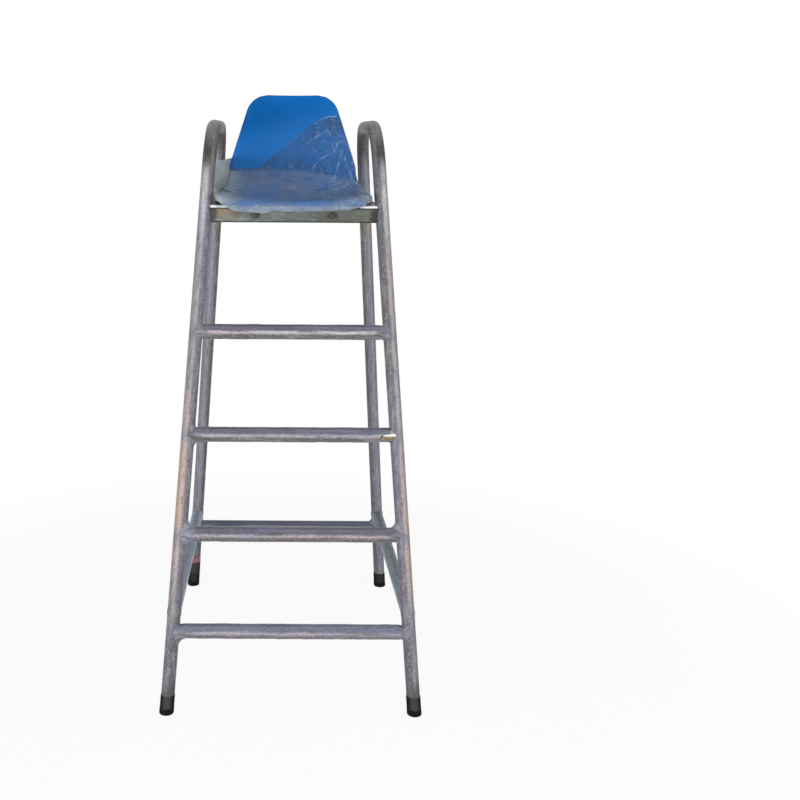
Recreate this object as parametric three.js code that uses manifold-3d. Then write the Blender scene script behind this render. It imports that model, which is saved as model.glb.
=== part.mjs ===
// Lifeguard chair: two bent-tube side frames that rise past the seat as armrests,
// four steps in front, a small steel seat frame between the legs and a one-piece
// moulded seat shell bolted on it. The seat and the steps still wear the clear
// packing film and the packing sleeves in which the chair is delivered.
// Millimetres, +Z up, floor at z = 0. The sitter faces -Y and climbs in from there;
// left and right are as seen from the front.

import * as THREE from "three";
import { mergeVertices } from "three/addons/utils/BufferGeometryUtils.js";
import Module from "manifold-3d";

const wasm = await Module();
wasm.setup();

// Frame layout
const footSpacing = 699;
const footDepth = 907;
const toeIn = THREE.MathUtils.degToRad(0.8);
const frontRake = THREE.MathUtils.degToRad(12);
const rearRake = THREE.MathUtils.degToRad(4.4);
const armRise = 219;
const frontBendRadius = 130;
const rearBendRadius = 105;
const seamDrop = 30;

// Tubes
const legDiameter = 38;
const legWall = 1.5;
const stepDiameter = 38;
const stepWall = 1.5;
const braceDiameter = 38;
const braceWall = 1.5;
const tubeSides = 20;
const armSteps = 22;
const seatingGap = 0.3;

// Heights of the tube centrelines above the floor; the steps spread slightly upwards
const stepCount = 4;
const firstStepHeight = 227;
const stepPitch = 268;
const stepPitchGrowth = 6.5;
const stretcherRise = 53;
const rearBarDrop = 48;
const stretcherHeight = firstStepHeight + stretcherRise;
const rearBarHeight = stretcherHeight - rearBarDrop;

// Packing sleeves of plastic film round the steps; one is torn back at its right end
const sleeveWall = 2.7;
const sleeveEndSetback = 12;
const sleeveTornBack = 38;
const tornSleeveStep = 3;

// Rubber feet
const footCapWall = 1.8;
const footCapNeckWall = 1.3;
const footCapHeight = 52;
const footCapFloor = 8;
const footCapCollarHeight = 16;

// Seat frame of rectangular tube
const railHeight = 40;
const railDepth = 25;
const railWall = 2.5;
const railCornerRadius = 4;
const sideRailDepth = 20;
const railSpacing = 281;

// Corner plates welded on the rails beside the front legs
const cornerPlateLength = 42;
const cornerPlateThickness = 6;

// Straps that carry the shell, bolted between the two cross rails
const strapPlace = 107;
const strapWidth = 32;
const strapThickness = 4;
const strapTabSetback = 4;

// Fasteners
const railBolt = { diameter: 10, head: 17, headHeight: 6.4, nutHeight: 8, washer: 20, washerThickness: 2 };
const railBoltTail = 3;
const seatBolt = { diameter: 8, head: 13, headHeight: 5.3, washer: 16, washerThickness: 1.6 };
const seatBoltInset = 46;
const seatBoltReach = 9;
const boltSides = 12;

// Seat shell, measured on its upper face along the middle
const shellThickness = 5;
const shellCrestHeight = 1406;
const shellCrestRise = 18;
const shellOverhang = 40;
const shellSideClearance = 15.5;
const shellNoseRadius = 26;
const shellNoseTurn = THREE.MathUtils.degToRad(50);
const shellPanLength = 220;
const shellPanTilt = THREE.MathUtils.degToRad(2);
const shellTurnRadius = 110;
const shellRecline = THREE.MathUtils.degToRad(12);
const shellBackLength = 214;
const shellFrontHalfWidth = 208;
const shellPanHalfWidth = 208;
const shellWaistHalfWidth = 180;
const shellTopHalfWidth = 117;
const shellFrontCornerRadius = 40;
const shellTopCornerRadius = 42;
const shellFrontDish = 20;
const shellPanDish = 24;
const shellWaistDish = 26;
const shellTopDish = 10;
const shellRimRadius = 7;
const shellSkirt = 6;
const shellBossDiameter = 26;
const shellColumns = 12;
const shellRows = 18;
const shellCornerRows = 4;
const shellRimSteps = 2;

// Clear film stretched over the pan, up the right of the back, and out to the left rear leg
const filmThickness = 0.8;
const filmGap = 0.6;
const filmLeftRise = 78;
const filmShoulderRise = 226;
const filmRightRise = 232;
const filmRiseStart = -107;
const filmShoulder = 64;
const filmRiseEnd = 150;
const filmHang = 4;
const filmWingStart = 12;
const filmWingEnd = 30;
const filmWingDrop = 20;
const filmWingGap = 0.5;
const filmWingColumns = 6;

// Accuracy of the cuts
const vertexTolerance = 0.001;
const cutOverrun = 60;

// Finishes
const tubeFinish = { color: 0x8d8993, roughness: 0.42, metalness: 0.85 };
const sleeveFinish = { color: 0x85818d, roughness: 0.38, metalness: 0.25 };
const railFinish = { color: 0x7d8078, roughness: 0.5, metalness: 0.7 };
const plateFinish = { color: 0x83867c, roughness: 0.5, metalness: 0.7 };
const fastenerFinish = { color: 0x4a4a46, roughness: 0.5, metalness: 0.8 };
const rubberFinish = { color: 0x1b1b1a, roughness: 0.8, metalness: 0 };
const shellFinish = { color: 0x0f62b0, roughness: 0.35, metalness: 0 };
const filmFinish = { color: 0x8b9cc0, roughness: 0.3, metalness: 0, transparent: true, opacity: 0.5 };

const up = new THREE.Vector3(0, 0, 1);
const left = { name: "left", sign: -1 };
const right = { name: "right", sign: 1 };
const sides = [left, right];

// Mesh to solid and back

function solidOf(geometry) {
  const bare = geometry.clone();
  bare.deleteAttribute("normal");
  bare.deleteAttribute("uv");
  const merged = mergeVertices(bare, vertexTolerance);
  return new wasm.Manifold(new wasm.Mesh({
    numProp: 3,
    vertProperties: new Float32Array(merged.attributes.position.array),
    triVerts: new Uint32Array(merged.index.array),
  }));
}

function geometryOf(solid) {
  const mesh = solid.getMesh();
  const geometry = new THREE.BufferGeometry();
  geometry.setAttribute("position", new THREE.BufferAttribute(mesh.vertProperties, 3));
  geometry.setIndex(new THREE.BufferAttribute(mesh.triVerts, 1));
  geometry.computeVertexNormals();
  return geometry;
}

// The seat rails lie just under the shell, the arms a given rise above the rails

const railTop = shellCrestHeight - shellCrestRise;
const railMiddle = railTop - railHeight / 2;
const armHeight = railTop + armRise;

// The side frames toe in towards the back, and lean from the feet in to the shell's width

const shellReach = Math.max(shellFrontHalfWidth, shellPanHalfWidth) + shellRimRadius;
const seatSpacing = 2 * (shellReach + shellSideClearance) + legDiameter;
const leanShare = (footSpacing - seatSpacing) / 2 / railTop;

function sidePoint(side, depth, height) {
  const fromFoot = depth + footDepth / 2;
  const x = footSpacing / 2 - leanShare * height - Math.tan(toeIn) * fromFoot;
  return new THREE.Vector3(side.sign * x, depth, height);
}

function frontLegPoint(side, height) {
  return sidePoint(side, -footDepth / 2 + Math.tan(frontRake) * height, height);
}

function rearLegPoint(side, height) {
  return sidePoint(side, footDepth / 2 - Math.tan(rearRake) * height, height);
}

// The tangent length of a bend is what it takes off each of its two straight runs

const frontBend = { turn: Math.PI / 2 - frontRake, radius: frontBendRadius };
const rearBend = { turn: Math.PI / 2 - rearRake, radius: rearBendRadius };

function bendTangent({ turn, radius }) {
  return radius * Math.tan(turn / 2);
}

const frontSeamHeight = armHeight - (bendTangent(frontBend) + seamDrop) * Math.cos(frontRake);
const rearSeamHeight = armHeight - (bendTangent(rearBend) + seamDrop) * Math.cos(rearRake);

// Round rods and tubes between two points

function rod(start, end, diameter, facets = tubeSides) {
  const run = end.clone().sub(start);
  const geometry = new THREE.CylinderGeometry(diameter / 2, diameter / 2, run.length(), facets);
  const cylinderAxis = new THREE.Vector3(0, 1, 0);
  const middle = start.clone().add(end).multiplyScalar(1 / 2);
  geometry.applyQuaternion(new THREE.Quaternion().setFromUnitVectors(cylinderAxis, run.normalize()));
  geometry.translate(middle.x, middle.y, middle.z);
  return solidOf(geometry);
}

function extended(start, end, startExtra, endExtra) {
  const along = end.clone().sub(start).normalize();
  return [start.clone().addScaledVector(along, -startExtra), end.clone().addScaledVector(along, endExtra)];
}

function tube(start, end, diameter, wall) {
  const [boreStart, boreEnd] = extended(start, end, cutOverrun, cutOverrun);
  return rod(start, end, diameter).subtract(rod(boreStart, boreEnd, diameter - 2 * wall));
}

function spaceUnder(height, around) {
  const span = 2 * cutOverrun;
  const geometry = new THREE.BoxGeometry(span, span, span);
  geometry.translate(around.x, around.y, height - span / 2);
  return solidOf(geometry);
}

// What a leg takes out of the pieces that are coped to it

function legCutter(side, legPoint, seamHeight) {
  const [start, end] = extended(legPoint(side, 0), legPoint(side, seamHeight), cutOverrun, cutOverrun);
  return rod(start, end, legDiameter + 2 * seatingGap);
}

const frontLegCutters = sides.map((side) => legCutter(side, frontLegPoint, frontSeamHeight));
const rearLegCutters = sides.map((side) => legCutter(side, rearLegPoint, rearSeamHeight));

const chair = new THREE.Group();

function addPiece(name, geometry, finish, parent = chair) {
  const piece = new THREE.Mesh(geometry, new THREE.MeshStandardMaterial(finish));
  piece.name = name;
  parent.add(piece);
  return piece;
}

// Legs and their rubber feet

function addLeg(side, place, legPoint, seamHeight) {
  const foot = legPoint(side, 0);
  const seam = legPoint(side, seamHeight);
  const [below, top] = extended(foot, seam, cutOverrun / 2, -seatingGap / 2);
  const leg = tube(below, top, legDiameter, legWall)
    .subtract(spaceUnder(footCapFloor + seatingGap, foot));
  addPiece(`${place}_leg_${side.name}`, geometryOf(leg), tubeFinish);

  const axis = seam.clone().sub(foot).normalize();
  const capTop = foot.clone().addScaledVector(axis, footCapHeight);
  const collarTop = foot.clone().addScaledVector(axis, footCapCollarHeight);
  const socketDiameter = legDiameter + 2 * seatingGap;
  const socket = rod(below, seam, socketDiameter)
    .subtract(spaceUnder(footCapFloor, foot));
  const cap = rod(below, collarTop, socketDiameter + 2 * footCapWall)
    .add(rod(below, capTop, socketDiameter + 2 * footCapNeckWall))
    .subtract(spaceUnder(0, foot))
    .subtract(socket);
  addPiece(`foot_cap_${place}_${side.name}`, geometryOf(cap), rubberFinish);
}

// Armrest hoops: one bent tube from the front seam over the arm to the rear seam

function armCurve(side) {
  const frontCorner = frontLegPoint(side, armHeight);
  const rearCorner = rearLegPoint(side, armHeight);
  const [frontEnd] = extended(frontLegPoint(side, frontSeamHeight), frontCorner, -seatingGap / 2, 0);
  const [rearEnd] = extended(rearLegPoint(side, rearSeamHeight), rearCorner, -seatingGap / 2, 0);
  const corners = [frontEnd, frontCorner, rearCorner, rearEnd];
  const path = new THREE.CurvePath();
  let from = corners[0];
  for (const [index, bend] of [[1, frontBend], [2, rearBend]]) {
    const corner = corners[index];
    const toPrevious = corners[index - 1].clone().sub(corner).normalize();
    const toNext = corners[index + 1].clone().sub(corner).normalize();
    const bendStart = corner.clone().addScaledVector(toPrevious, bendTangent(bend));
    const bendEnd = corner.clone().addScaledVector(toNext, bendTangent(bend));
    path.add(new THREE.LineCurve3(from, bendStart));
    path.add(bendCurve(bendStart, corner, bendEnd, bend.turn));
    from = bendEnd;
  }
  path.add(new THREE.LineCurve3(from, corners[3]));
  return path;
}

// A cubic whose handles follow a circular arc of the given turn

function bendCurve(start, corner, end, turn) {
  const handle = (4 / 3) * Math.tan(turn / 4) / Math.tan(turn / 2);
  return new THREE.CubicBezierCurve3(
    start,
    start.clone().lerp(corner, handle),
    end.clone().lerp(corner, handle),
    end,
  );
}

function ringShape(diameter, wall) {
  const shape = new THREE.Shape().absarc(0, 0, diameter / 2, 0, 2 * Math.PI);
  shape.holes.push(new THREE.Path().absarc(0, 0, diameter / 2 - wall, 0, 2 * Math.PI));
  return shape;
}

function alongArm(side, section) {
  return solidOf(new THREE.ExtrudeGeometry(section, {
    steps: armSteps,
    curveSegments: tubeSides / 2,
    bevelEnabled: false,
    extrudePath: armCurve(side),
  }));
}

function addArmHoop(side) {
  const hoop = alongArm(side, ringShape(legDiameter, legWall));
  addPiece(`arm_hoop_${side.name}`, geometryOf(hoop), tubeFinish);
}

// Steps, coped to the front legs, and the packing sleeves round them

function addStep(number) {
  const risen = number - 1;
  const height = firstStepHeight + stepPitch * risen + stepPitchGrowth * risen * (risen - 1) / 2;
  const [leftEnd, rightEnd] = sides.map((side) => frontLegPoint(side, height));
  const step = tube(leftEnd, rightEnd, stepDiameter, stepWall)
    .subtract(frontLegCutters[0])
    .subtract(frontLegCutters[1]);
  addPiece(`step_${number}`, geometryOf(step), tubeFinish);

  const rightSetback = number === tornSleeveStep ? sleeveTornBack : sleeveEndSetback;
  const [sleeveLeft, sleeveRight] = extended(leftEnd, rightEnd, -sleeveEndSetback, -rightSetback);
  const sleeveDiameter = stepDiameter + 2 * (seatingGap + sleeveWall);
  const sleeve = tube(sleeveLeft, sleeveRight, sleeveDiameter, sleeveWall)
    .subtract(frontLegCutters[0])
    .subtract(frontLegCutters[1]);
  addPiece(`step_sleeve_${number}`, geometryOf(sleeve), sleeveFinish);
}

// Braces near the floor: a crossbar between the rear legs, a stretcher on each side

function addBraces() {
  const [rearLeft, rearRight] = sides.map((side) => rearLegPoint(side, rearBarHeight));
  const rearBar = tube(rearLeft, rearRight, braceDiameter, braceWall)
    .subtract(rearLegCutters[0])
    .subtract(rearLegCutters[1]);
  addPiece("rear_crossbar", geometryOf(rearBar), tubeFinish);

  for (const [index, side] of sides.entries()) {
    const front = frontLegPoint(side, stretcherHeight);
    const rear = rearLegPoint(side, stretcherHeight);
    const stretcher = tube(front, rear, braceDiameter, braceWall)
      .subtract(frontLegCutters[index])
      .subtract(rearLegCutters[index]);
    addPiece(`side_stretcher_${side.name}`, geometryOf(stretcher), tubeFinish);
  }
}

// Rectangular tube from one point to another on the same level

function roundedRectangle(path, width, height, radius) {
  const x = width / 2;
  const y = height / 2;
  path.moveTo(-x + radius, -y);
  path.lineTo(x - radius, -y);
  path.absarc(x - radius, -y + radius, radius, -Math.PI / 2, 0);
  path.absarc(x - radius, y - radius, radius, 0, Math.PI / 2);
  path.absarc(-x + radius, y - radius, radius, Math.PI / 2, Math.PI);
  path.absarc(-x + radius, -y + radius, radius, Math.PI, 1.5 * Math.PI);
  return path;
}

function boxTube(start, end, width) {
  const shape = roundedRectangle(new THREE.Shape(), width, railHeight, railCornerRadius);
  const bore = roundedRectangle(
    new THREE.Path(), width - 2 * railWall, railHeight - 2 * railWall, railCornerRadius - railWall);
  shape.holes.push(bore);
  const run = end.clone().sub(start);
  const geometry = new THREE.ExtrudeGeometry(shape, {
    depth: run.length(),
    steps: 1,
    curveSegments: 2,
    bevelEnabled: false,
  });
  const along = run.normalize();
  const across = up.clone().cross(along);
  geometry.applyMatrix4(new THREE.Matrix4().makeBasis(across, up, along).setPosition(start));
  return solidOf(geometry);
}

// Seat frame

const frontRailPlace = frontLegPoint(left, railMiddle).y;
const rearRailPlace = frontRailPlace + railSpacing;
const frontRailRearFace = frontRailPlace + railDepth / 2;
const rearRailFrontFace = rearRailPlace - railDepth / 2;

function railBoltHole(x, place) {
  const start = new THREE.Vector3(x, place - cutOverrun, railMiddle);
  const end = new THREE.Vector3(x, place + cutOverrun, railMiddle);
  return rod(start, end, railBolt.diameter + 2 * seatingGap, boltSides);
}

function drilledForStraps(rail, place) {
  return sides.reduce((solid, side) => solid.subtract(railBoltHole(side.sign * strapPlace, place)), rail);
}

function sideRailInnerFace(side, depth) {
  return sidePoint(side, depth, railMiddle).x - side.sign * (sideRailDepth / 2 + seatingGap);
}

function addSeatFrame() {
  const frontEnds = sides.map((side) => frontLegPoint(side, railMiddle));
  const frontRail = boxTube(frontEnds[0], frontEnds[1], railDepth)
    .subtract(frontLegCutters[0])
    .subtract(frontLegCutters[1]);
  addPiece("front_seat_rail", geometryOf(drilledForStraps(frontRail, frontRailPlace)), railFinish);

  const rearEnds = sides.map((side) => {
    const x = sideRailInnerFace(side, rearRailPlace + railDepth / 2);
    return new THREE.Vector3(x, rearRailPlace, railMiddle);
  });
  const rearRail = boxTube(rearEnds[0], rearEnds[1], railDepth);
  addPiece("rear_seat_rail", geometryOf(drilledForStraps(rearRail, rearRailPlace)), railFinish);

  for (const [index, side] of sides.entries()) {
    const sideRail = boxTube(frontLegPoint(side, railMiddle), rearLegPoint(side, railMiddle), sideRailDepth)
      .subtract(frontLegCutters[index])
      .subtract(rearLegCutters[index]);
    addPiece(`side_seat_rail_${side.name}`, geometryOf(sideRail), railFinish);
    addCornerPlate(side, index);
  }
}

// A corner plate lies on the front rail and runs back along the side rail

function addCornerPlate(side, index) {
  const corner = frontLegPoint(side, railTop);
  const inner = corner.x - side.sign * (legDiameter / 2 + cornerPlateLength);
  const outer = corner.x;
  const front = frontRailPlace - railDepth / 2 + railCornerRadius;
  const rear = front + legDiameter + cornerPlateLength;
  const outline = new THREE.Shape();
  outline.moveTo(outer, front);
  outline.lineTo(inner, front);
  outline.lineTo(inner, front + railDepth - 2 * railCornerRadius);
  outline.lineTo(outer - side.sign * sideRailDepth / 2, rear);
  outline.lineTo(outer, rear);
  const geometry = new THREE.ExtrudeGeometry(outline, { depth: cornerPlateThickness, bevelEnabled: false });
  geometry.translate(0, 0, railTop + seatingGap);
  const plate = solidOf(geometry).subtract(frontLegCutters[index]);
  addPiece(`corner_plate_${side.name}`, geometryOf(plate), plateFinish);
}

// Straps, with their ends folded down against the inner faces of the cross rails

const strapEnds = [
  { name: "front", face: frontRailRearFace + seatingGap, inward: 1 },
  { name: "rear", face: rearRailFrontFace - seatingGap, inward: -1 },
];
const seatBoltPlaces = strapEnds.map((end) => ({ name: end.name, y: end.face + end.inward * seatBoltInset }));

function addStrap(side) {
  const [front, rear] = strapEnds;
  const tabBottom = railTop - railHeight + strapTabSetback;
  const outline = new THREE.Shape();
  outline.moveTo(front.face, tabBottom);
  outline.lineTo(front.face + strapThickness, tabBottom);
  outline.lineTo(front.face + strapThickness, railTop - strapThickness);
  outline.lineTo(rear.face - strapThickness, railTop - strapThickness);
  outline.lineTo(rear.face - strapThickness, tabBottom);
  outline.lineTo(rear.face, tabBottom);
  outline.lineTo(rear.face, railTop);
  outline.lineTo(front.face, railTop);
  const geometry = new THREE.ExtrudeGeometry(outline, { depth: strapWidth, bevelEnabled: false });
  const acrossX = new THREE.Matrix4().makeBasis(
    new THREE.Vector3(0, 1, 0), new THREE.Vector3(0, 0, 1), new THREE.Vector3(1, 0, 0));
  geometry.applyMatrix4(acrossX);
  const x = side.sign * strapPlace;
  geometry.translate(x - strapWidth / 2, 0, 0);
  let strap = solidOf(geometry)
    .subtract(railBoltHole(x, front.face))
    .subtract(railBoltHole(x, rear.face));
  for (const { y } of seatBoltPlaces) {
    const low = new THREE.Vector3(x, y, railTop - cutOverrun / 2);
    const high = new THREE.Vector3(x, y, railTop + cutOverrun / 2);
    strap = strap.subtract(rod(low, high, seatBolt.diameter + 2 * seatingGap, boltSides));
  }
  addPiece(`seat_strap_${side.name}`, geometryOf(strap), plateFinish);
}

// Fasteners, each drawn along +Z from the underside of its head

function hexagon(acrossFlats, height, base) {
  const cornerRadius = acrossFlats / Math.sqrt(3);
  const geometry = new THREE.CylinderGeometry(cornerRadius, cornerRadius, height, 6);
  geometry.rotateX(Math.PI / 2);
  geometry.translate(0, 0, base + height / 2);
  return solidOf(geometry);
}

function zRod(from, to, diameter) {
  return rod(new THREE.Vector3(0, 0, from), new THREE.Vector3(0, 0, to), diameter, boltSides);
}

function boltGeometry(size, length) {
  return geometryOf(hexagon(size.head, size.headHeight, -size.headHeight)
    .add(zRod(-size.headHeight / 2, length, size.diameter)));
}

function nutGeometry(size) {
  return geometryOf(hexagon(size.head, size.nutHeight, 0)
    .subtract(zRod(-cutOverrun, cutOverrun, size.diameter + 2 * seatingGap)));
}

function washerGeometry(size) {
  return geometryOf(zRod(0, size.washerThickness, size.washer)
    .subtract(zRod(-cutOverrun, cutOverrun, size.diameter + 2 * seatingGap)));
}

function addRailFasteners(side, end) {
  const outerFace = end.face - end.inward * (railDepth + seatingGap);
  const grip = railDepth + 2 * seatingGap + strapThickness;
  const group = new THREE.Group();
  group.position.set(side.sign * strapPlace, outerFace - end.inward * seatingGap, railMiddle);
  group.rotation.x = end.inward > 0 ? -Math.PI / 2 : Math.PI / 2;
  chair.add(group);
  const label = `${end.name}_${side.name}`;
  const washerPlace = grip + 2 * seatingGap;
  const nutPlace = washerPlace + railBolt.washerThickness + seatingGap;
  const length = nutPlace + railBolt.nutHeight + railBoltTail;
  addPiece(`rail_bolt_${label}`, boltGeometry(railBolt, length), fastenerFinish, group);
  addPiece(`rail_washer_${label}`, washerGeometry(railBolt), fastenerFinish, group).position.z = washerPlace;
  addPiece(`rail_nut_${label}`, nutGeometry(railBolt), fastenerFinish, group).position.z = nutPlace;
}

function addSeatFasteners(side, { name, y }) {
  const group = new THREE.Group();
  const washerUnderside = railTop - strapThickness - seatingGap - seatBolt.washerThickness;
  const headSeat = washerUnderside - seatingGap;
  group.position.set(side.sign * strapPlace, y, headSeat);
  chair.add(group);
  const length = railTop + seatingGap + seatBoltReach - headSeat;
  addPiece(`seat_bolt_${name}_${side.name}`, boltGeometry(seatBolt, length), fastenerFinish, group);
  addPiece(`seat_washer_${name}_${side.name}`, washerGeometry(seatBolt), fastenerFinish, group)
    .position.z = seatingGap;
}

// Seat shell: its upper face is a profile in side view, s along it from the nose to the
// top edge, with a half width and a dish that change along s

const noseArc = shellNoseRadius * shellNoseTurn;
const turnAngle = Math.PI / 2 - shellRecline + shellPanTilt;
const turnArc = shellTurnRadius * turnAngle;
const panStart = noseArc;
const turnStart = panStart + shellPanLength;
const backStart = turnStart + turnArc;
const shellRun = backStart + shellBackLength;
const shellFront = frontRailPlace - shellOverhang;

function profilePoint(s) {
  const crest = new THREE.Vector2(
    shellFront + shellNoseRadius * Math.sin(shellNoseTurn + shellPanTilt), shellCrestHeight);
  const panDirection = new THREE.Vector2(Math.cos(shellPanTilt), -Math.sin(shellPanTilt));
  const panNormal = new THREE.Vector2(Math.sin(shellPanTilt), Math.cos(shellPanTilt));
  if (s < panStart) {
    const back = (panStart - s) / shellNoseRadius;
    return crest.clone()
      .addScaledVector(panDirection, -shellNoseRadius * Math.sin(back))
      .addScaledVector(panNormal, -shellNoseRadius * (1 - Math.cos(back)));
  }
  if (s < turnStart) {
    return crest.clone().addScaledVector(panDirection, s - panStart);
  }
  const turned = Math.min((s - turnStart) / shellTurnRadius, turnAngle);
  const point = crest.clone()
    .addScaledVector(panDirection, shellPanLength + shellTurnRadius * Math.sin(turned))
    .addScaledVector(panNormal, shellTurnRadius * (1 - Math.cos(turned)));
  const backDirection = new THREE.Vector2(Math.sin(shellRecline), Math.cos(shellRecline));
  return point.addScaledVector(backDirection, Math.max(s - backStart, 0));
}

function eased(from, to, t) {
  const clamped = Math.min(Math.max(t, 0), 1);
  return from + (to - from) * clamped * clamped * (3 - 2 * clamped);
}

function straightHalfWidth(s) {
  if (s > backStart) {
    return THREE.MathUtils.mapLinear(s, backStart, shellRun, shellWaistHalfWidth, shellTopHalfWidth);
  }
  if (s > turnStart) {
    return eased(shellPanHalfWidth, shellWaistHalfWidth, (s - turnStart) / turnArc);
  }
  return eased(shellFrontHalfWidth, shellPanHalfWidth, s / turnStart);
}

function cornerInset(distance, radius) {
  if (distance >= radius) {
    return 0;
  }
  return radius - Math.sqrt(radius * radius - (radius - distance) * (radius - distance));
}

function halfWidth(s) {
  return straightHalfWidth(s)
    - cornerInset(s, shellFrontCornerRadius)
    - cornerInset(shellRun - s, shellTopCornerRadius);
}

function dishDepth(s) {
  if (s > backStart) {
    return eased(shellWaistDish, shellTopDish, (s - backStart) / shellBackLength);
  }
  if (s > turnStart) {
    return eased(shellPanDish, shellWaistDish, (s - turnStart) / turnArc);
  }
  return eased(shellFrontDish, shellPanDish, s / turnStart);
}

// A point of the upper face: x is measured across, s along the profile

function shellPoint(x, s) {
  const here = profilePoint(s);
  const probe = shellThickness;
  const ahead = profilePoint(Math.min(s + probe, shellRun));
  const behind = profilePoint(Math.max(s - probe, 0));
  const along = ahead.sub(behind).normalize();
  const across = x / straightHalfWidth(s);
  const lift = dishDepth(s) * across * across;
  return new THREE.Vector3(x, here.x - along.y * lift, here.y + along.x * lift);
}

function shellNormal(x, s) {
  const probe = shellThickness / 2;
  const alongX = shellPoint(x + probe, s).sub(shellPoint(x - probe, s));
  const alongS = shellPoint(x, Math.min(s + probe, shellRun)).sub(shellPoint(x, Math.max(s - probe, 0)));
  return alongX.cross(alongS).normalize();
}

// Stations along the shell, closer together round its corners

function shellStations() {
  const stations = [];
  for (let index = 0; index < shellCornerRows; index += 1) {
    const turn = (Math.PI / 2) * index / shellCornerRows;
    stations.push(shellFrontCornerRadius * (1 - Math.cos(turn)));
  }
  const plainRun = shellRun - shellFrontCornerRadius - shellTopCornerRadius;
  for (let index = 0; index <= shellRows; index += 1) {
    stations.push(shellFrontCornerRadius + plainRun * index / shellRows);
  }
  for (let index = shellCornerRows - 1; index >= 0; index -= 1) {
    const turn = (Math.PI / 2) * index / shellCornerRows;
    stations.push(shellRun - shellTopCornerRadius * (1 - Math.cos(turn)));
  }
  return stations;
}

// A closed skin from a grid of points with normals: an outer sheet, an inner sheet one
// thickness below, and a border strip that joins them

function skinGeometry(rows, columns, place, thickness, rimSteps, rimRadius, skirt) {
  const outer = [];
  const inner = [];
  const faces = [];
  const at = (row, column) => row * (columns + 1) + column;
  const push = (point, normal) => {
    outer.push(point);
    inner.push(point.clone().addScaledVector(normal, -thickness));
  };
  const normals = [];
  for (let row = 0; row <= rows; row += 1) {
    for (let column = 0; column <= columns; column += 1) {
      const { point, normal } = place(row, column);
      normals.push(normal);
      push(point, normal);
    }
  }
  for (let row = 0; row < rows; row += 1) {
    for (let column = 0; column < columns; column += 1) {
      faces.push([at(row, column), at(row, column + 1), at(row + 1, column + 1)]);
      faces.push([at(row, column), at(row + 1, column + 1), at(row + 1, column)]);
    }
  }
  let border = [];
  for (let column = 0; column < columns; column += 1) {
    border.push(at(0, column));
  }
  for (let row = 0; row < rows; row += 1) {
    border.push(at(row, columns));
  }
  for (let column = columns; column > 0; column -= 1) {
    border.push(at(rows, column));
  }
  for (let row = rows; row > 0; row -= 1) {
    border.push(at(row, 0));
  }
  const edge = border.map((vertex, index) => {
    const before = outer[border[(index + border.length - 1) % border.length]];
    const after = outer[border[(index + 1) % border.length]];
    const normal = normals[vertex];
    const outward = after.clone().sub(before).cross(normal).normalize();
    return { point: outer[vertex], normal, outward };
  });
  for (let step = 1; step <= rimSteps + (skirt > 0 ? 1 : 0); step += 1) {
    const turn = (Math.PI / 2) * Math.min(step, rimSteps) / rimSteps;
    const drop = step > rimSteps ? skirt : 0;
    const ring = edge.map(({ point, normal, outward }) => {
      const rimNormal = normal.clone()
        .multiplyScalar(Math.cos(turn))
        .addScaledVector(outward, Math.sin(turn));
      const rimPoint = point.clone()
        .addScaledVector(outward, rimRadius * Math.sin(turn))
        .addScaledVector(normal, -rimRadius * (1 - Math.cos(turn)) - drop);
      push(rimPoint, rimNormal);
      return outer.length - 1;
    });
    border.forEach((vertex, index) => {
      const next = (index + 1) % border.length;
      faces.push([border[next], vertex, ring[index]]);
      faces.push([border[next], ring[index], ring[next]]);
    });
    border = ring;
  }
  const count = outer.length;
  const underside = faces.map(([a, b, c]) => [a + count, c + count, b + count]);
  const strip = border.flatMap((vertex, index) => {
    const next = border[(index + 1) % border.length];
    return [[next, vertex, vertex + count], [next, vertex + count, next + count]];
  });
  const geometry = new THREE.BufferGeometry().setFromPoints([...outer, ...inner]);
  geometry.setIndex([...faces, ...underside, ...strip].flat());
  geometry.computeVertexNormals();
  return geometry;
}

// The shell's own grid, lifted off its upper face: the shell itself has no lift

function shellSkin(lift, thickness, rimSteps, rimRadius, skirt) {
  const stations = shellStations();
  return skinGeometry(stations.length - 1, shellColumns, (row, column) => {
    const s = stations[row];
    const x = halfWidth(s) * (2 * column / shellColumns - 1);
    const normal = shellNormal(x, s);
    return { point: shellPoint(x, s).addScaledVector(normal, lift), normal };
  }, thickness, rimSteps, rimRadius, skirt);
}

function addShell() {
  let shell = solidOf(shellSkin(0, shellThickness, shellRimSteps, shellRimRadius, shellSkirt));
  for (const side of sides) {
    for (const { y } of seatBoltPlaces) {
      const x = side.sign * strapPlace;
      const surface = shellPoint(x, panStart + (y - profilePoint(panStart).x) / Math.cos(shellPanTilt)).z;
      const bossFoot = new THREE.Vector3(x, y, railTop + seatingGap);
      const bossTop = new THREE.Vector3(x, y, surface - shellThickness / 2);
      const boreTop = new THREE.Vector3(x, y, railTop + 2 * seatingGap + seatBoltReach);
      const boreFoot = new THREE.Vector3(x, y, railTop - seatBoltReach);
      shell = shell
        .add(rod(bossFoot, bossTop, shellBossDiameter, boltSides))
        .subtract(rod(boreFoot, boreTop, seatBolt.diameter + 2 * seatingGap, boltSides));
    }
  }
  addPiece("seat_shell", geometryOf(shell), shellFinish);
}

// Film over the pan, whose upper edge climbs across the back from left to right

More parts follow.
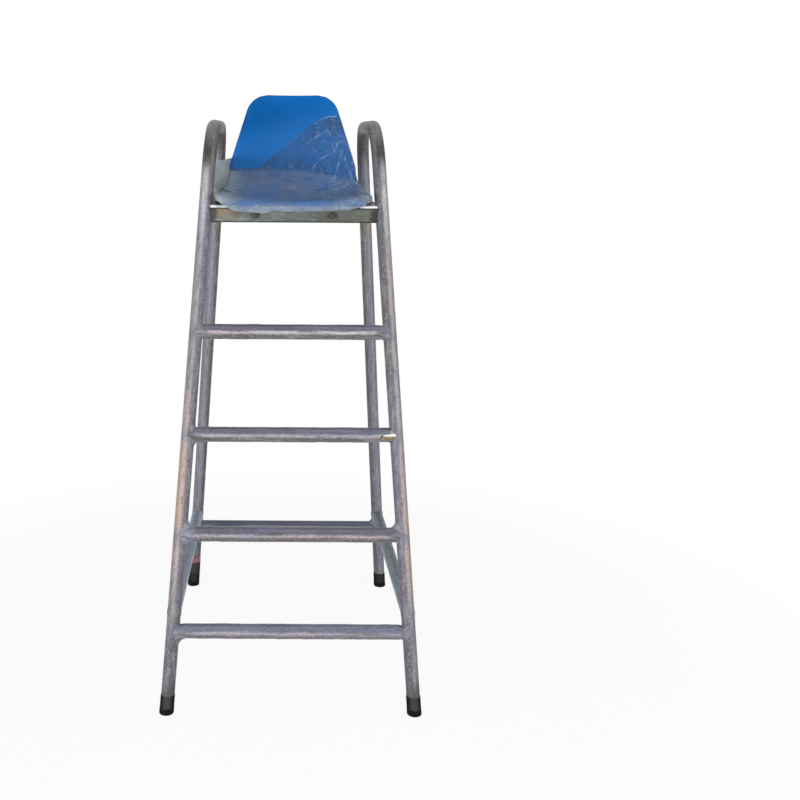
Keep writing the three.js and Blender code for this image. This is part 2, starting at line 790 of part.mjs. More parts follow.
function addSeatFilm() {
  const reach = shellReach + filmGap + filmThickness + filmHang;
  const outline = new THREE.Shape();
  const low = shellCrestHeight - shellNoseRadius - filmHang;
  const leftTop = shellCrestHeight + filmLeftRise;
  const rightTop = shellCrestHeight + filmRightRise;
  outline.moveTo(-reach, low);
  outline.lineTo(reach, low);
  outline.lineTo(reach, rightTop);
  outline.lineTo(filmRiseEnd, rightTop);
  outline.quadraticCurveTo(filmShoulder, shellCrestHeight + filmShoulderRise, filmRiseStart, leftTop);
  outline.lineTo(-reach, leftTop);
  const depth = 2 * shellRun;
  const covered = new THREE.ExtrudeGeometry(outline, { depth, bevelEnabled: false });
  covered.rotateX(Math.PI / 2);
  covered.translate(0, depth / 2, 0);
  const lift = filmGap + filmThickness;
  const skin = shellSkin(lift, filmThickness, shellRimSteps, shellRimRadius + lift, shellSkirt + filmHang);
  const film = solidOf(skin).intersect(solidOf(covered));
  addPiece("seat_film", geometryOf(film), filmFinish);
}

// Film wing from the rim at the shell's left side across to the left front leg

function leftRimPoint(s, clearance) {
  const edge = shellPoint(-halfWidth(s), s);
  const ahead = shellPoint(-halfWidth(s + shellThickness), s + shellThickness);
  const normal = shellNormal(-halfWidth(s), s);
  const outward = normal.clone().cross(ahead.sub(edge)).normalize();
  return edge
    .addScaledVector(outward, shellRimRadius + clearance)
    .addScaledVector(normal, -shellRimRadius);
}

function addFilmWing() {
  const begin = shellFrontCornerRadius + filmWingStart;
  const end = backStart + filmWingEnd;
  const stations = shellStations().filter((s) => s > begin && s < end);
  const rows = stations.length - 1;
  const clearance = filmGap + 2 * filmThickness + filmWingGap;
  const foot = shellCrestHeight - filmWingDrop;
  const top = leftRimPoint(stations[rows], clearance).z;
  const axisAt = (row) => frontLegPoint(left, THREE.MathUtils.lerp(foot, top, row / rows));
  const pointAt = (row, column) => {
    const shellEdge = leftRimPoint(stations[row], clearance);
    const legAxis = axisAt(row);
    const toShell = shellEdge.clone().sub(legAxis).normalize();
    const legFace = legAxis.addScaledVector(toShell, legDiameter / 2 + filmGap);
    return legFace.lerp(shellEdge, column / filmWingColumns);
  };
  const geometry = skinGeometry(rows, filmWingColumns, (row, column) => {
    const below = pointAt(Math.max(row - 1, 0), column);
    const above = pointAt(Math.min(row + 1, rows), column);
    const across = pointAt(row, filmWingColumns).sub(pointAt(row, 0));
    const normal = across.cross(above.sub(below)).normalize();
    return { point: pointAt(row, column), normal };
  }, filmThickness, 0, 0, 0);
  const armSection = new THREE.Shape().absarc(0, 0, legDiameter / 2 + seatingGap, 0, 2 * Math.PI);
  const legSpace = rod(frontLegPoint(left, 0), frontLegPoint(left, top), legDiameter + 2 * seatingGap);
  const film = solidOf(geometry).subtract(alongArm(left, armSection)).subtract(legSpace);
  addPiece("side_film", geometryOf(film), filmFinish);
}

for (const side of sides) {
  addLeg(side, "front", frontLegPoint, frontSeamHeight);
  addLeg(side, "rear", rearLegPoint, rearSeamHeight);
  addArmHoop(side);
  addStrap(side);
  strapEnds.forEach((end) => addRailFasteners(side, end));
  seatBoltPlaces.forEach((place) => addSeatFasteners(side, place));
}
for (let number = 1; number <= stepCount; number += 1) {
  addStep(number);
}
addBraces();
addSeatFrame();
addShell();
addSeatFilm();
addFilmWing();

export default chair;
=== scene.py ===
"""Lifeguard chair, delivered new: tube side frames, ladder steps and a moulded blue seat, with the
clear packing film still stretched over the seat and wrapped round the steps and joints."""
import math
from collections import Counter

import bpy
from bpy.props import FloatProperty, FloatVectorProperty, IntProperty, PointerProperty
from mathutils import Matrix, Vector, noise


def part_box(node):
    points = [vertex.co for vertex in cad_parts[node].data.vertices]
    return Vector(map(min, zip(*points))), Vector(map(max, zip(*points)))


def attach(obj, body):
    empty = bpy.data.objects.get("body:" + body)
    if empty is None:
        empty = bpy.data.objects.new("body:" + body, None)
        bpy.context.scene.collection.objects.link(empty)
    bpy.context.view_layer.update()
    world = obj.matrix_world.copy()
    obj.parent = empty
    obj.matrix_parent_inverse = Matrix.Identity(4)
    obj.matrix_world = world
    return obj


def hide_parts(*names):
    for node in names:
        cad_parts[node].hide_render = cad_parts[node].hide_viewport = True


bl_info = {
    "name": "Lifeguard Chair",
    "version": (1, 0, 0),
    "blender": (4, 5, 0),
    "location": "3D View > Sidebar > Lifeguard Chair",
    "description": "Builds a tall lifeguard chair and its packing film round a fixed frame",
    "category": "Object",
}

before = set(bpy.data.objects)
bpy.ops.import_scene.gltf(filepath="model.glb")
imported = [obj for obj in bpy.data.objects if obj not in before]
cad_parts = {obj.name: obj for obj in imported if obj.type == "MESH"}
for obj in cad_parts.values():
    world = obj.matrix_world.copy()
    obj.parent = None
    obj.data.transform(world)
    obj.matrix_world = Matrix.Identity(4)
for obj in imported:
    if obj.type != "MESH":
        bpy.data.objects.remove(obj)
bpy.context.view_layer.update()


# Settings that a user would change

def a_number(name, text, value, **more):
    return FloatProperty(name=name, description=text, default=value, **more)


def a_length(name, text, metres):
    return a_number(name, text, metres, unit="LENGTH")


def an_angle(name, text, degrees):
    return a_number(name, text, math.radians(degrees), unit="ROTATION")


def a_colour(name, text, *levels):
    return FloatVectorProperty(
        name=name, description=text, subtype="COLOR", size=3, default=levels)


class ChairTubeSettings(bpy.types.PropertyGroup):
    """Sizes and colours of the welded frame."""

    foot_spacing: a_length("Foot spacing", "Between the centres of the front feet", 0.699)
    foot_depth: a_length("Foot depth", "From the front feet to the rear feet", 0.907)
    seat_spacing: a_length(
        "Seat spacing", "Between the leg centrelines at the seat rails", 0.499)
    rail_top: a_length("Rail top", "Height of the seat rails' upper faces", 1.388)
    arm_height: a_length("Arm height", "Height of the armrests' centrelines", 1.607)
    toe_in: an_angle("Toe-in", "How far each side frame turns in towards the back", 0.8)
    front_rake: an_angle("Front rake", "Slope of the front legs", 12)
    rear_rake: an_angle("Rear rake", "Slope of the rear legs", 4.4)
    front_bend: a_length("Front bend", "Radius of the bend over each front leg", 0.130)
    rear_bend: a_length("Rear bend", "Radius of the bend over each rear leg", 0.105)
    diameter: a_length("Tube diameter", "Outer diameter of the round tubes", 0.038)
    facets: IntProperty(
        name="Facets", description="Sides of each round tube", default=48, min=12)
    weld: a_length("Weld bead", "Thickness of a weld bead", 0.0014)
    steel: a_colour("Steel", "Colour of the tubes", 0.20, 0.196, 0.206)
    rail: a_colour("Rails", "Colour of the seat rails and plates", 0.115, 0.130, 0.119)
    rubber: a_colour("Rubber", "Colour of the foot caps", 0.005, 0.005, 0.005)


class ChairSeatSettings(bpy.types.PropertyGroup):
    """Sizes and colour of the moulded seat."""

    thickness: a_length("Wall", "Thickness of the shell", 0.005)
    rim: a_length("Rim radius", "Radius of the rolled rim", 0.00698)
    skirt: a_length("Skirt", "Straight drop under the rim", 0.006)
    boss: a_length("Boss", "Diameter of the screw bosses", 0.026)
    blue: a_colour("Plastic", "Colour of the shell", 0.0025, 0.112, 0.385)


class ChairPackingSettings(bpy.types.PropertyGroup):
    """Sizes and colours of the packing film."""

    lift: a_length("Lift", "Gap between the shell and its film", 0.0006)
    sleeve: a_length("Sleeve", "Diameter of a step with its film", 0.044)
    wrap_pitch: a_length("Wrap pitch", "Advance of the film in each turn round a step", 0.075)
    joint_web: a_length("Joint web", "Radius of the film in the corner of a joint", 0.0035)
    haze: a_colour("Haze", "Colour of the film's haze", 0.195, 0.265, 0.390)
    tape: a_colour("Tape", "Colour of the tape round one rear leg", 0.20, 0.032, 0.060)


class ChairStageSettings(bpy.types.PropertyGroup):
    """Camera, lamps and floor."""

    lens: a_number("Lens", "Focal length in millimetres", 49.5)
    key: a_number("Key lamp", "Power of the low lamp in front, in watts", 170.0)
    fill: a_number("Fill lamp", "Power of the lamp on the right, in watts", 100.0)
    top: a_number("Top lamp", "Power of the lamp overhead, in watts", 45.0)
    room: a_number("Room light", "Strength of the light from all round", 0.2)
    floor: a_colour("Floor", "Colour of the floor", 0.9, 0.9, 0.9)


# Object mode, edit mode and modifiers

MERGE = 1e-6
FILM_SKIN = 0.00012


def start():
    """Leaves edit mode and deselects everything."""
    if bpy.context.active_object and bpy.context.active_object.mode != "OBJECT":
        bpy.ops.object.mode_set(mode="OBJECT")
    bpy.ops.object.select_all(action="DESELECT")


def take(piece):
    """Selects one piece alone and makes it the active one."""
    start()
    piece.select_set(True)
    bpy.context.view_layer.objects.active = piece


def added(name):
    """Names the primitive that was just added and puts its place in its mesh."""
    piece = bpy.context.active_object
    piece.name = name
    piece.data.name = name
    bpy.ops.object.transform_apply(location=True, rotation=True, scale=True)
    return piece


def grid(name, columns, rows):
    """A flat grid from -1 to 1, to be shaped."""
    start()
    bpy.ops.mesh.primitive_grid_add(
        x_subdivisions=columns, y_subdivisions=rows, size=2, location=(0, 0, 0))
    return added(name)


def pick(piece, kind, test):
    """Enters edit mode with only those faces or edges selected that pass the test."""
    take(piece)
    mesh = piece.data
    for parts in (mesh.vertices, mesh.edges, mesh.polygons):
        parts.foreach_set("select", [False] * len(parts))
    bpy.context.tool_settings.mesh_select_mode = (False, kind == "EDGE", kind == "FACE")
    for part in mesh.polygons if kind == "FACE" else mesh.edges:
        part.select = test(part)
    bpy.ops.object.mode_set(mode="EDIT")


def pick_all(piece):
    """Enters edit mode with everything selected."""
    take(piece)
    bpy.ops.object.mode_set(mode="EDIT")
    bpy.ops.mesh.select_all(action="SELECT")


def leave():
    bpy.ops.object.mode_set(mode="OBJECT")


def close_up(piece):
    """Merges doubled vertices and turns the faces outwards."""
    pick_all(piece)
    bpy.ops.mesh.remove_doubles(threshold=MERGE)
    bpy.ops.mesh.normals_make_consistent(inside=False)
    leave()


def modify(piece, kind, **settings):
    """Adds one modifier and applies it."""
    take(piece)
    bpy.ops.object.modifier_add(type=kind)
    modifier = piece.modifiers[-1]
    for key, value in settings.items():
        setattr(modifier, key, value)
    bpy.ops.object.modifier_apply(modifier=modifier.name)


def dress(piece, finish, slot, *nodes, smooth=38):
    """Shades a finished piece, gives it its finish and puts it in place of its frame nodes."""
    take(piece)
    bpy.ops.object.shade_smooth_by_angle(angle=math.radians(smooth))
    piece.data.materials.clear()
    piece.data.materials.append(finish)
    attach(piece, "root")
    if nodes:
        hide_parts(*nodes)


def soften(node, ending, bevel, finish, slot):
    """Dresses a piece shaped on a frame node: flat faces are joined and edges are broken."""
    start()
    piece = bpy.data.objects.new(f"{node}_{ending}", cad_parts[node].data.copy())
    bpy.context.scene.collection.objects.link(piece)
    pick_all(piece)
    bpy.ops.mesh.remove_doubles(threshold=MERGE)
    bpy.ops.mesh.dissolve_limited(angle_limit=math.radians(1))
    leave()
    modify(piece, "BEVEL", width=bevel, segments=2, limit_method="ANGLE",
           angle_limit=math.radians(40), use_clamp_overlap=True)
    dress(piece, finish, slot, node)


# Where things lie on the side frames

SIDES = {"left": -1, "right": 1}
STEP_HEIGHTS = (0.227, 0.495, 0.7695, 1.0505)
TORN_STEP = 3
TEAR = 0.046
REAR_BAR_HEIGHT = 0.232
STRETCHER_HEIGHT = 0.280
TUBE_END = 0.010


def side_lean():
    """How far a side frame leans in for each metre of height."""
    tubes = bpy.context.scene.chair_tubes
    return (tubes.foot_spacing - tubes.seat_spacing) / 2 / tubes.rail_top


def side_point(side, depth, height):
    """A point of a side frame's plane, which leans in upwards and toes in backwards."""
    tubes = bpy.context.scene.chair_tubes
    inward = side_lean() * height + math.tan(tubes.toe_in) * (depth + tubes.foot_depth / 2)
    return Vector((SIDES[side] * (tubes.foot_spacing / 2 - inward), depth, height))


def front_leg(side, height):
    tubes = bpy.context.scene.chair_tubes
    return side_point(side, -tubes.foot_depth / 2 + math.tan(tubes.front_rake) * height, height)


def rear_leg(side, height):
    tubes = bpy.context.scene.chair_tubes
    return side_point(side, tubes.foot_depth / 2 - math.tan(tubes.rear_rake) * height, height)


def leg_way(leg, side):
    """The direction of a leg, upwards."""
    return (leg(side, 1) - leg(side, 0)).normalized()


# Seat shell: its upper face is a side profile, s along it from the nose to the top edge

SHELL_FRONT = -0.20273
CREST = 1.406
NOSE_RADIUS, NOSE_TURN = 0.026, math.radians(50)
PAN_LENGTH, PAN_TILT = 0.220, math.radians(2)
TURN_RADIUS, RECLINE = 0.110, math.radians(12)
BACK_LENGTH = 0.214
HALF_WIDTHS = {"pan": 0.208, "waist": 0.180, "top": 0.117}
DISHES = {"front": 0.020, "pan": 0.024, "waist": 0.026, "top": 0.010}
FRONT_CORNER, TOP_CORNER = 0.040, 0.042
PAN_START = NOSE_RADIUS * NOSE_TURN
TURN_START = PAN_START + PAN_LENGTH
TURN_ANGLE = math.pi / 2 - RECLINE + PAN_TILT
BACK_START = TURN_START + TURN_RADIUS * TURN_ANGLE
SHELL_RUN = BACK_START + BACK_LENGTH


def eased(low, high, share):
    share = min(max(share, 0.0), 1.0)
    return low + (high - low) * share * share * (3 - 2 * share)


def profile(s):
    """Depth and height of the shell's middle line."""
    crest = Vector((SHELL_FRONT + NOSE_RADIUS * math.sin(NOSE_TURN + PAN_TILT), CREST))
    run = Vector((math.cos(PAN_TILT), -math.sin(PAN_TILT)))
    rise = Vector((math.sin(PAN_TILT), math.cos(PAN_TILT)))
    if s < PAN_START:
        turned = (PAN_START - s) / NOSE_RADIUS
        forward, drop = NOSE_RADIUS * math.sin(turned), NOSE_RADIUS * (1 - math.cos(turned))
        return crest - run * forward - rise * drop
    if s < TURN_START:
        return crest + run * (s - PAN_START)
    turned = min((s - TURN_START) / TURN_RADIUS, TURN_ANGLE)
    bend = crest + run * (PAN_LENGTH + TURN_RADIUS * math.sin(turned))
    bend += rise * TURN_RADIUS * (1 - math.cos(turned))
    return bend + Vector((math.sin(RECLINE), math.cos(RECLINE))) * max(s - BACK_START, 0)


def turn_share(s):
    return (s - TURN_START) / (BACK_START - TURN_START)


def back_share(s):
    return (s - BACK_START) / BACK_LENGTH


def straight_half_width(s):
    """Half the shell's width, without its rounded corners."""
    if s > BACK_START:
        return HALF_WIDTHS["waist"] + (HALF_WIDTHS["top"] - HALF_WIDTHS["waist"]) * back_share(s)
    return eased(HALF_WIDTHS["pan"], HALF_WIDTHS["waist"], turn_share(s))


def corner_inset(distance, radius):
    if distance >= radius:
        return 0.0
    return radius - math.sqrt(max(radius ** 2 - (radius - distance) ** 2, 0))


def half_width(s):
    return (straight_half_width(s) - corner_inset(s, FRONT_CORNER)
            - corner_inset(SHELL_RUN - s, TOP_CORNER))


def dish(s):
    """How far the shell's sides rise over its middle line."""
    if s > BACK_START:
        return eased(DISHES["waist"], DISHES["top"], back_share(s))
    if s > TURN_START:
        return eased(DISHES["pan"], DISHES["waist"], turn_share(s))
    return eased(DISHES["front"], DISHES["pan"], s / TURN_START)


def shell_point(x, s):
    """A point of the shell's upper face, which is dished towards its sides."""
    probe = 0.005
    here = profile(s)
    along = (profile(min(s + probe, SHELL_RUN)) - profile(max(s - probe, 0))).normalized()
    lift = dish(s) * (x / straight_half_width(s)) ** 2
    return Vector((x, here.x - along.y * lift, here.y + along.x * lift))


def shell_normal(x, s):
    probe = 0.0025
    across = shell_point(x + probe, s) - shell_point(x - probe, s)
    along = shell_point(x, min(s + probe, SHELL_RUN)) - shell_point(x, max(s - probe, 0))
    return across.cross(along).normalized()


def solve(low, high, under):
    """Halves a range again and again, keeping the upper half where the test holds."""
    for _ in range(40):
        middle = (low + high) / 2
        low, high = (middle, high) if under(middle) else (low, middle)
    return (low + high) / 2


def shell_s_at(height):
    """Where the shell's middle line reaches a height on the turn or the back."""
    return solve(TURN_START, SHELL_RUN, lambda s: profile(s).y < height)


def rim_centre(s):
    """The point that the shell's rim faces away from."""
    return shell_point(0, min(max(s, PAN_START + 0.05), SHELL_RUN - 0.06))


def rim_places(radius, skirt, lift=0.0, steps=5):
    """The quarter turn of the rim and the straight drop under it."""
    turns = [math.pi / 2 * k / steps for k in range(1, steps + 1)]
    size = radius + lift
    places = [(size * math.sin(turn), radius - size * math.cos(turn)) for turn in turns]
    return places + [(size, radius + skirt)]


# Shader maths

class Level:
    """A number that changes over a surface. Arithmetic on it adds Math nodes."""

    def __init__(self, finish, socket):
        self.finish = finish
        self.socket = socket

    def maths(self, operation, *others):
        values = dict(enumerate([self, *others]))
        return self.finish.node("ShaderNodeMath", {"operation": operation}, values)

    def __add__(self, other):
        return self.maths("ADD", other)

    def __sub__(self, other):
        return self.maths("SUBTRACT", other)

    def __rsub__(self, other):
        return self.finish.node("ShaderNodeMath", {"operation": "SUBTRACT"}, {0: other, 1: self})

    def __mul__(self, other):
        return self.maths("MULTIPLY", other)

    def __pow__(self, other):
        return self.maths("POWER", other)

    __radd__, __rmul__ = __add__, __mul__

    def step(self, low, high):
        """Zero under low, one over high, and smooth between."""
        return self.finish.node(
            "ShaderNodeMapRange", {"interpolation_type": "SMOOTHSTEP"},
            {"Value": self, "From Min": low, "From Max": high})

    def near(self, place, reach):
        """One at a place, zero at the reach to either side."""
        return 1 - (self - place).maths("ABSOLUTE").step(0.0, reach)


class Nodes:
    """The nodes of one material or of the world."""

    def __init__(self, tree):
        self.tree = tree

    def feed(self, socket, value):
        if isinstance(value, Level):
            self.tree.links.new(value.socket, socket)
        else:
            socket.default_value = value

    def node(self, kind, settings=None, values=None, output=0):
        """Adds a node, sets it up, feeds its sockets and returns one of its outputs."""
        made = self.tree.nodes.new(kind)
        for key, value in (settings or {}).items():
            setattr(made, key, value)
        for key, value in (values or {}).items():
            self.feed(made.inputs[key], value)
        return Level(self, made.outputs[output])

    def parts(self, vector):
        """The three parts of a vector."""
        axes = self.tree.nodes.new("ShaderNodeSeparateXYZ")
        self.feed(axes.inputs[0], vector)
        return tuple(Level(self, socket) for socket in axes.outputs)

    def seen(self):
        """One for the camera's rays, also by way of a mirror or through glass."""
        path = self.tree.nodes.new("ShaderNodeLightPath")
        camera, glossy, through = (Level(self, path.outputs[f"Is {ray} Ray"])
                                   for ray in ("Camera", "Glossy", "Transmission"))
        return camera.maths("MAXIMUM", glossy).maths("MAXIMUM", through)


class Finish(Nodes):
    """A material made of nodes on object coordinates."""

    def __init__(self, name, **constants):
        self.material = bpy.data.materials.new(name)
        self.material.use_nodes = True
        super().__init__(self.material.node_tree)
        self.shader = self.tree.nodes["Principled BSDF"]
        self.place = self.node("ShaderNodeTexCoord", output="Object")
        self.x, self.y, self.z = self.parts(self.place)
        self.shade(**constants)

    def shade(self, **values):
        """Feeds the shader's sockets, each named by a keyword."""
        for key, value in values.items():
            title = key.replace("_", " ").title().replace("Ior", "IOR")
            self.feed(self.shader.inputs[title], value)

    def facing(self):
        """The three parts of the surface's own direction."""
        return self.parts(self.node("ShaderNodeTexCoord", output="Normal"))

    def stretched(self, scale, turn):
        return self.node("ShaderNodeMapping", None,
                         {"Vector": self.place, "Scale": scale, "Rotation": turn})

    def noise(self, scale, detail=3.0, stretch=(1, 1, 1), distortion=0.0, turn=(0, 0, 0)):
        return self.node("ShaderNodeTexNoise", None, {
            "Vector": self.stretched(stretch, turn), "Scale": scale, "Detail": detail,
            "Distortion": distortion})

    def cracks(self, scale, stretch, turn, width):
        """Thin lines along the borders of random cells."""
        return 1 - self.node("ShaderNodeTexVoronoi", {"feature": "DISTANCE_TO_EDGE"}, {
            "Vector": self.stretched(stretch, turn), "Scale": scale}).step(0.0, width)

    def mix(self, share, low, high):
        low, high = (c if isinstance(c, Level) else (*c, 1.0) for c in (low, high))
        return self.node("ShaderNodeMix", {"data_type": "RGBA"}, {0: share, 6: low, 7: high}, 2)

    def coats(self, colour, *coats):
        """Lays coats over a colour, each with its share and its own colour."""
        for share, coat in coats:
            colour = self.mix(share, colour, coat)
        return colour

    def done(self, colour, roughness, bump, **more):
        """Feeds the shader and returns the material. The bump is height, strength, distance."""
        height, strength, distance = bump
        normal = self.node("ShaderNodeBump", None, {
            "Height": height, "Strength": strength, "Distance": distance})
        self.shade(base_color=colour, roughness=roughness, normal=normal, **more)
        return self.material


def tint(colour, factor, shift=(0, 0, 0)):
    return tuple(min(max(c * factor + s, 0.0), 1.0) for c, s in zip(colour, shift))


ALONG = {"x": (0.35, 1, 1), "y": (1, 0.35, 1), "z": (1, 1, 0.35)}
STREAK = {"x": (0.10, 1, 1), "y": (1, 0.10, 1), "z": (1, 1, 0.10)}


def speckled(finish, steel, base, streak, patch, grain, bright):
    """The mottles, streaks and specks that thin clinging film gives to the steel under it."""
    return finish.coats(
        steel,
        (patch.step(0.56, 0.74) * 0.4 * bright, tint(base, 1.7)),
        ((1 - patch.step(0.28, 0.42)) * 0.45, tint(base, 0.3)),
        (streak.step(0.54, 0.68) * 0.4, tint(base, 0.4)),
        ((1 - streak.step(0.34, 0.46)) * 0.3 * bright, tint(base, 1.7)),
        (grain.step(0.54, 0.64) * 0.4, tint(base, 0.25)),
        ((1 - grain.step(0.36, 0.45)) * 0.35 * bright, tint(base, 2.2)))


def filmed_legs(name, base):
    """Legs and armrests under thin film, with painted light and shade: tan on the lit outer sides,
    violet on the shaded inner sides, painted highlights, and grey-green above with dark patches on
    the front bends.
    """
    finish = Finish(name, metallic=0.1, coat_roughness=0.25, coat_ior=1.4, specular_ior_level=0.2)
    streak = finish.noise(120.0, 4.0, STREAK["z"], 0.2)
    broad = finish.noise(7.0, 2.0, ALONG["z"])
    patch = finish.noise(38.0, 5.0, ALONG["z"], 0.8)
    grain = finish.noise(330.0, 4.0, (1, 1, 0.6))

    outward = finish.facing()[0] * finish.x.maths("SIGN")
    right = finish.x.step(-0.1, 0.1)
    rear = finish.y.step(0.0, 0.12)
    front = 1 - rear
    height = finish.z + (broad - 0.5) * 0.16
    lower = 1 - height.step(0.22, 0.42)
    upper = height.step(1.49, 1.55)
    # The outer sides face the lamps: the colour laid on them is painted light, and the colour of
    # the inner sides is painted shade.
    lit = outward + (1 - right) * 0.22
    outer = (lit + (broad - 0.5) * 0.5).step(-0.22, 0.30)
    # A painted highlight along the lit side of each leg.
    painted_leg_highlight = (lit + (patch - 0.5) * 0.3).near(0.32, 0.42)
    behind = (outward + (broad - 0.5) * 0.3).step(-0.65, -0.25)
    edges = outward.maths("ABSOLUTE").step(0.55, 0.95)
    # A painted highlight on the lit side of the front legs, round the seat's height.
    painted_seat_highlight = height.near(1.41, 0.15) * lit.near(0.44, 0.62) * front
    rust = height.near(1.305, 0.055) * rear
    # Dark patches on the front bends, on their outer and front faces.
    bend_dark_patch = finish.z.near(1.545, 0.070) * (1 - finish.y.step(-0.09, -0.02)) * patch.step(0.10, 0.25)
    wrapped = sum(finish.z.near(step, 0.040) for step in STEP_HEIGHTS) * front
    rise = outward * 0.018 * (1 - right * 2) + (patch - 0.5) * 0.02
    foot = 1 - (finish.z + rise).step(0.058, 0.092)

    # Painted light: the warm tan of the lit outer sides, with a warmer stripe lower down.
    tan = finish.coats(
        tint(base, 1.06, (0.016, 0.006, 0.006)),
        (broad.step(0.38, 0.56), tint(base, 1.12, (0.060, 0.022, 0.005))),
        (height.near(0.60, 0.34) * (1 - right * 0.35) * 0.85, tint(base, 1.2, (0.16, 0.03, -0.05))))
    # Painted shade: the violet of the shaded inner sides, darker high on the right leg.
    violet = finish.mix(right * height.step(0.75, 1.05),
                        tint(base, 0.66, (0.004, -0.003, 0.024)),
                        tint(base, 0.53, (0.0, 0.0, 0.006)))
    # Rear legs: painted shade on their inner third, and the rest a little darker too.
    shade = finish.mix(behind, tint(base, 0.50, (-0.004, 0.012, -0.002)),
                       tint(base, 0.86, (-0.006, 0.000, 0.036)))
    low_outer_colour = finish.mix(right, tint(base, 0.46, (0.0, 0.0, 0.020)),
                      tint(base, 0.80, (0.004, 0.0, 0.014)))
    rusty = finish.mix(patch.step(0.4, 0.55), (0.110, 0.102, 0.072), (0.215, 0.160, 0.110))
    folds = finish.mix(patch.step(0.35, 0.6), tint(base, 0.60, (0.0, 0.0, 0.02)),
                       tint(base, 0.95, (0.0, 0.0, 0.035)))
    steel = finish.coats(
        violet,
        (outer, tan),
        (painted_leg_highlight * 0.42, tint(base, 1.8, (0.01, -0.01, 0.0))),
        (rear * 0.9, shade),
        (rear * painted_leg_highlight * 0.3, tint(base, 1.4, (0.0, 0.0, 0.02))),
        # Darker towards the feet; on the right leg the outer side stays lighter than the inner
        # side, as painted light and shade.
        (lower * (1 - rear * 0.4) * 0.88,
         finish.mix(outer, tint(base, 0.48, (-0.002, -0.002, 0.014)), low_outer_colour)),
        (painted_seat_highlight * 0.78, tint(base, 2.5, (0.0, 0.0, 0.05))),
        (rust * 0.8, rusty),
        (finish.z.near(1.405, 0.06) * rear * right * 0.8, (0.235, 0.265, 0.34)),
        (upper * 0.9, tint(base, 0.60, (0.002, 0.012, -0.014))),
        # Painted shade on the sideways faces of the armrests.
        (upper * edges * 0.65, (0.060, 0.050, 0.038)),
        (upper * rear * 0.65, tint(base, 0.30)),
        (bend_dark_patch * (outward + 0.35).step(-0.2, 0.2) * 0.95, tint(base, 0.13)),
        (wrapped * 0.7, folds))
    steel = speckled(finish, steel, base, streak, patch, grain, 1 - bend_dark_patch * 0.75)
    steel = finish.mix(foot * front * 0.85, steel, (0.062, 0.061, 0.055))
    bump = patch * 0.6 + grain * 0.25 + streak * 0.3
    return finish.done(steel, 0.36 + patch * 0.2 + grain * 0.1, (bump, 0.45, 0.0016),
                       coat_weight=patch.step(0.3, 0.7) * 0.15)


def filmed_brace(name, axis, base):
    """A level tube under film: darkened all round as painted shade, violet on its upper faces, with
    a painted highlight band along its level-facing sides, and with its film bunched at the ends."""
    across = axis == "x"
    glaze = 1.0 if across else 0.2
    finish = Finish(name, metallic=0.1 * glaze, coat_roughness=0.2, coat_ior=1.4,
                    specular_ior_level=0.2 * glaze)
    normal_z = finish.facing()[2]
    streak = finish.noise(95.0, 4.0, STREAK[axis], 0.3)
    broad = finish.noise(9.0, 2.0, ALONG[axis])
    patch = finish.noise(34.0, 5.0, ALONG[axis], 1.0)
    grain = finish.noise(300.0, 4.0, ALONG[axis])
    right = finish.x.step(-0.1, 0.1)
    above = (normal_z + (patch - 0.5) * 0.35).step(0.10, 0.45)
    # A painted highlight band on the faces that look out level, front and back.
    painted_side_band = (normal_z + (streak - 0.5) * 0.3).near(0.08, 0.38) * glaze
    # Painted shade: the tube's colour is dark all round, violet on its upper faces and warmer
    # below.
    steel = finish.mix(above, tint(base, 0.54, (0.012, 0.005, -0.002)),
                       tint(base, 0.58, (-0.006, -0.003, 0.032)))
    if across:
        inward = (bpy.context.scene.chair_tubes.foot_spacing / 2 - finish.z * side_lean()
                  - finish.x.maths("ABSOLUTE"))
        bunched = 1 - (inward + (patch - 0.5) * 0.03).step(0.022, 0.052)
        painted_side_band = painted_side_band * (1 - bunched)
        pale = finish.z.near(STEP_HEIGHTS[1], 0.05) * (1 - right) * bunched
        folds = finish.mix(patch.step(0.35, 0.6), tint(base, 0.40, (0.0, 0.0, 0.02)),
                           tint(base, 0.95, (0.0, 0.0, 0.03)))
        steel = finish.coats(
            steel, (bunched * 0.6, folds), (pale * 0.65, tint(base, 1.45, (0.0, 0.0, 0.08))))
    lower = 1 - finish.z.step(0.88, 0.96)
    # Colours of the painted highlight band, different on the top step.
    bright = finish.mix(
        lower, tint(base, 2.4, (0.01, 0.0, -0.01)), tint(base, 1.75, (0.005, -0.022, 0.012)))
    steel = finish.coats(
        steel,
        (painted_side_band * (0.4 + broad.step(0.35, 0.55) * 0.55), bright),
        (painted_side_band * broad.near(0.42, 0.08) * 0.6, tint(base, 1.7, (0.14, 0.03, 0.03))),
        (broad.step(0.55, 0.7) * 0.35, tint(base, 0.9, (-0.01, 0.0, 0.10))))
    if across:
        # The lowest step is paler and bluer, with painted shade on its undersides.
        first = (1 - finish.z.step(0.30, 0.40)) * (1 - finish.y.step(-0.2, 0.0))
        under = 1 - normal_z.step(-0.75, -0.15)
        steel = finish.coats(
            steel,
            (first * 0.25, tint(base, 1.45, (-0.02, 0.01, 0.11))),
            (first * under * 0.7, tint(base, 0.45, (0.02, 0.0, 0.01))))
    else:
        steel = finish.mix(right * 0.62, steel, tint(base, 0.20, (0.0, 0.012, -0.014)))
    steel = speckled(finish, steel, base, streak, patch, grain, 1 - above * 0.7)
    bump = patch * 0.7 + grain * 0.2 + streak * 0.35
    return finish.done(steel, 0.30 + patch * 0.2, (bump, 0.45, 0.0018),
                       coat_weight=patch.step(0.3, 0.65) * 0.2 * glaze)


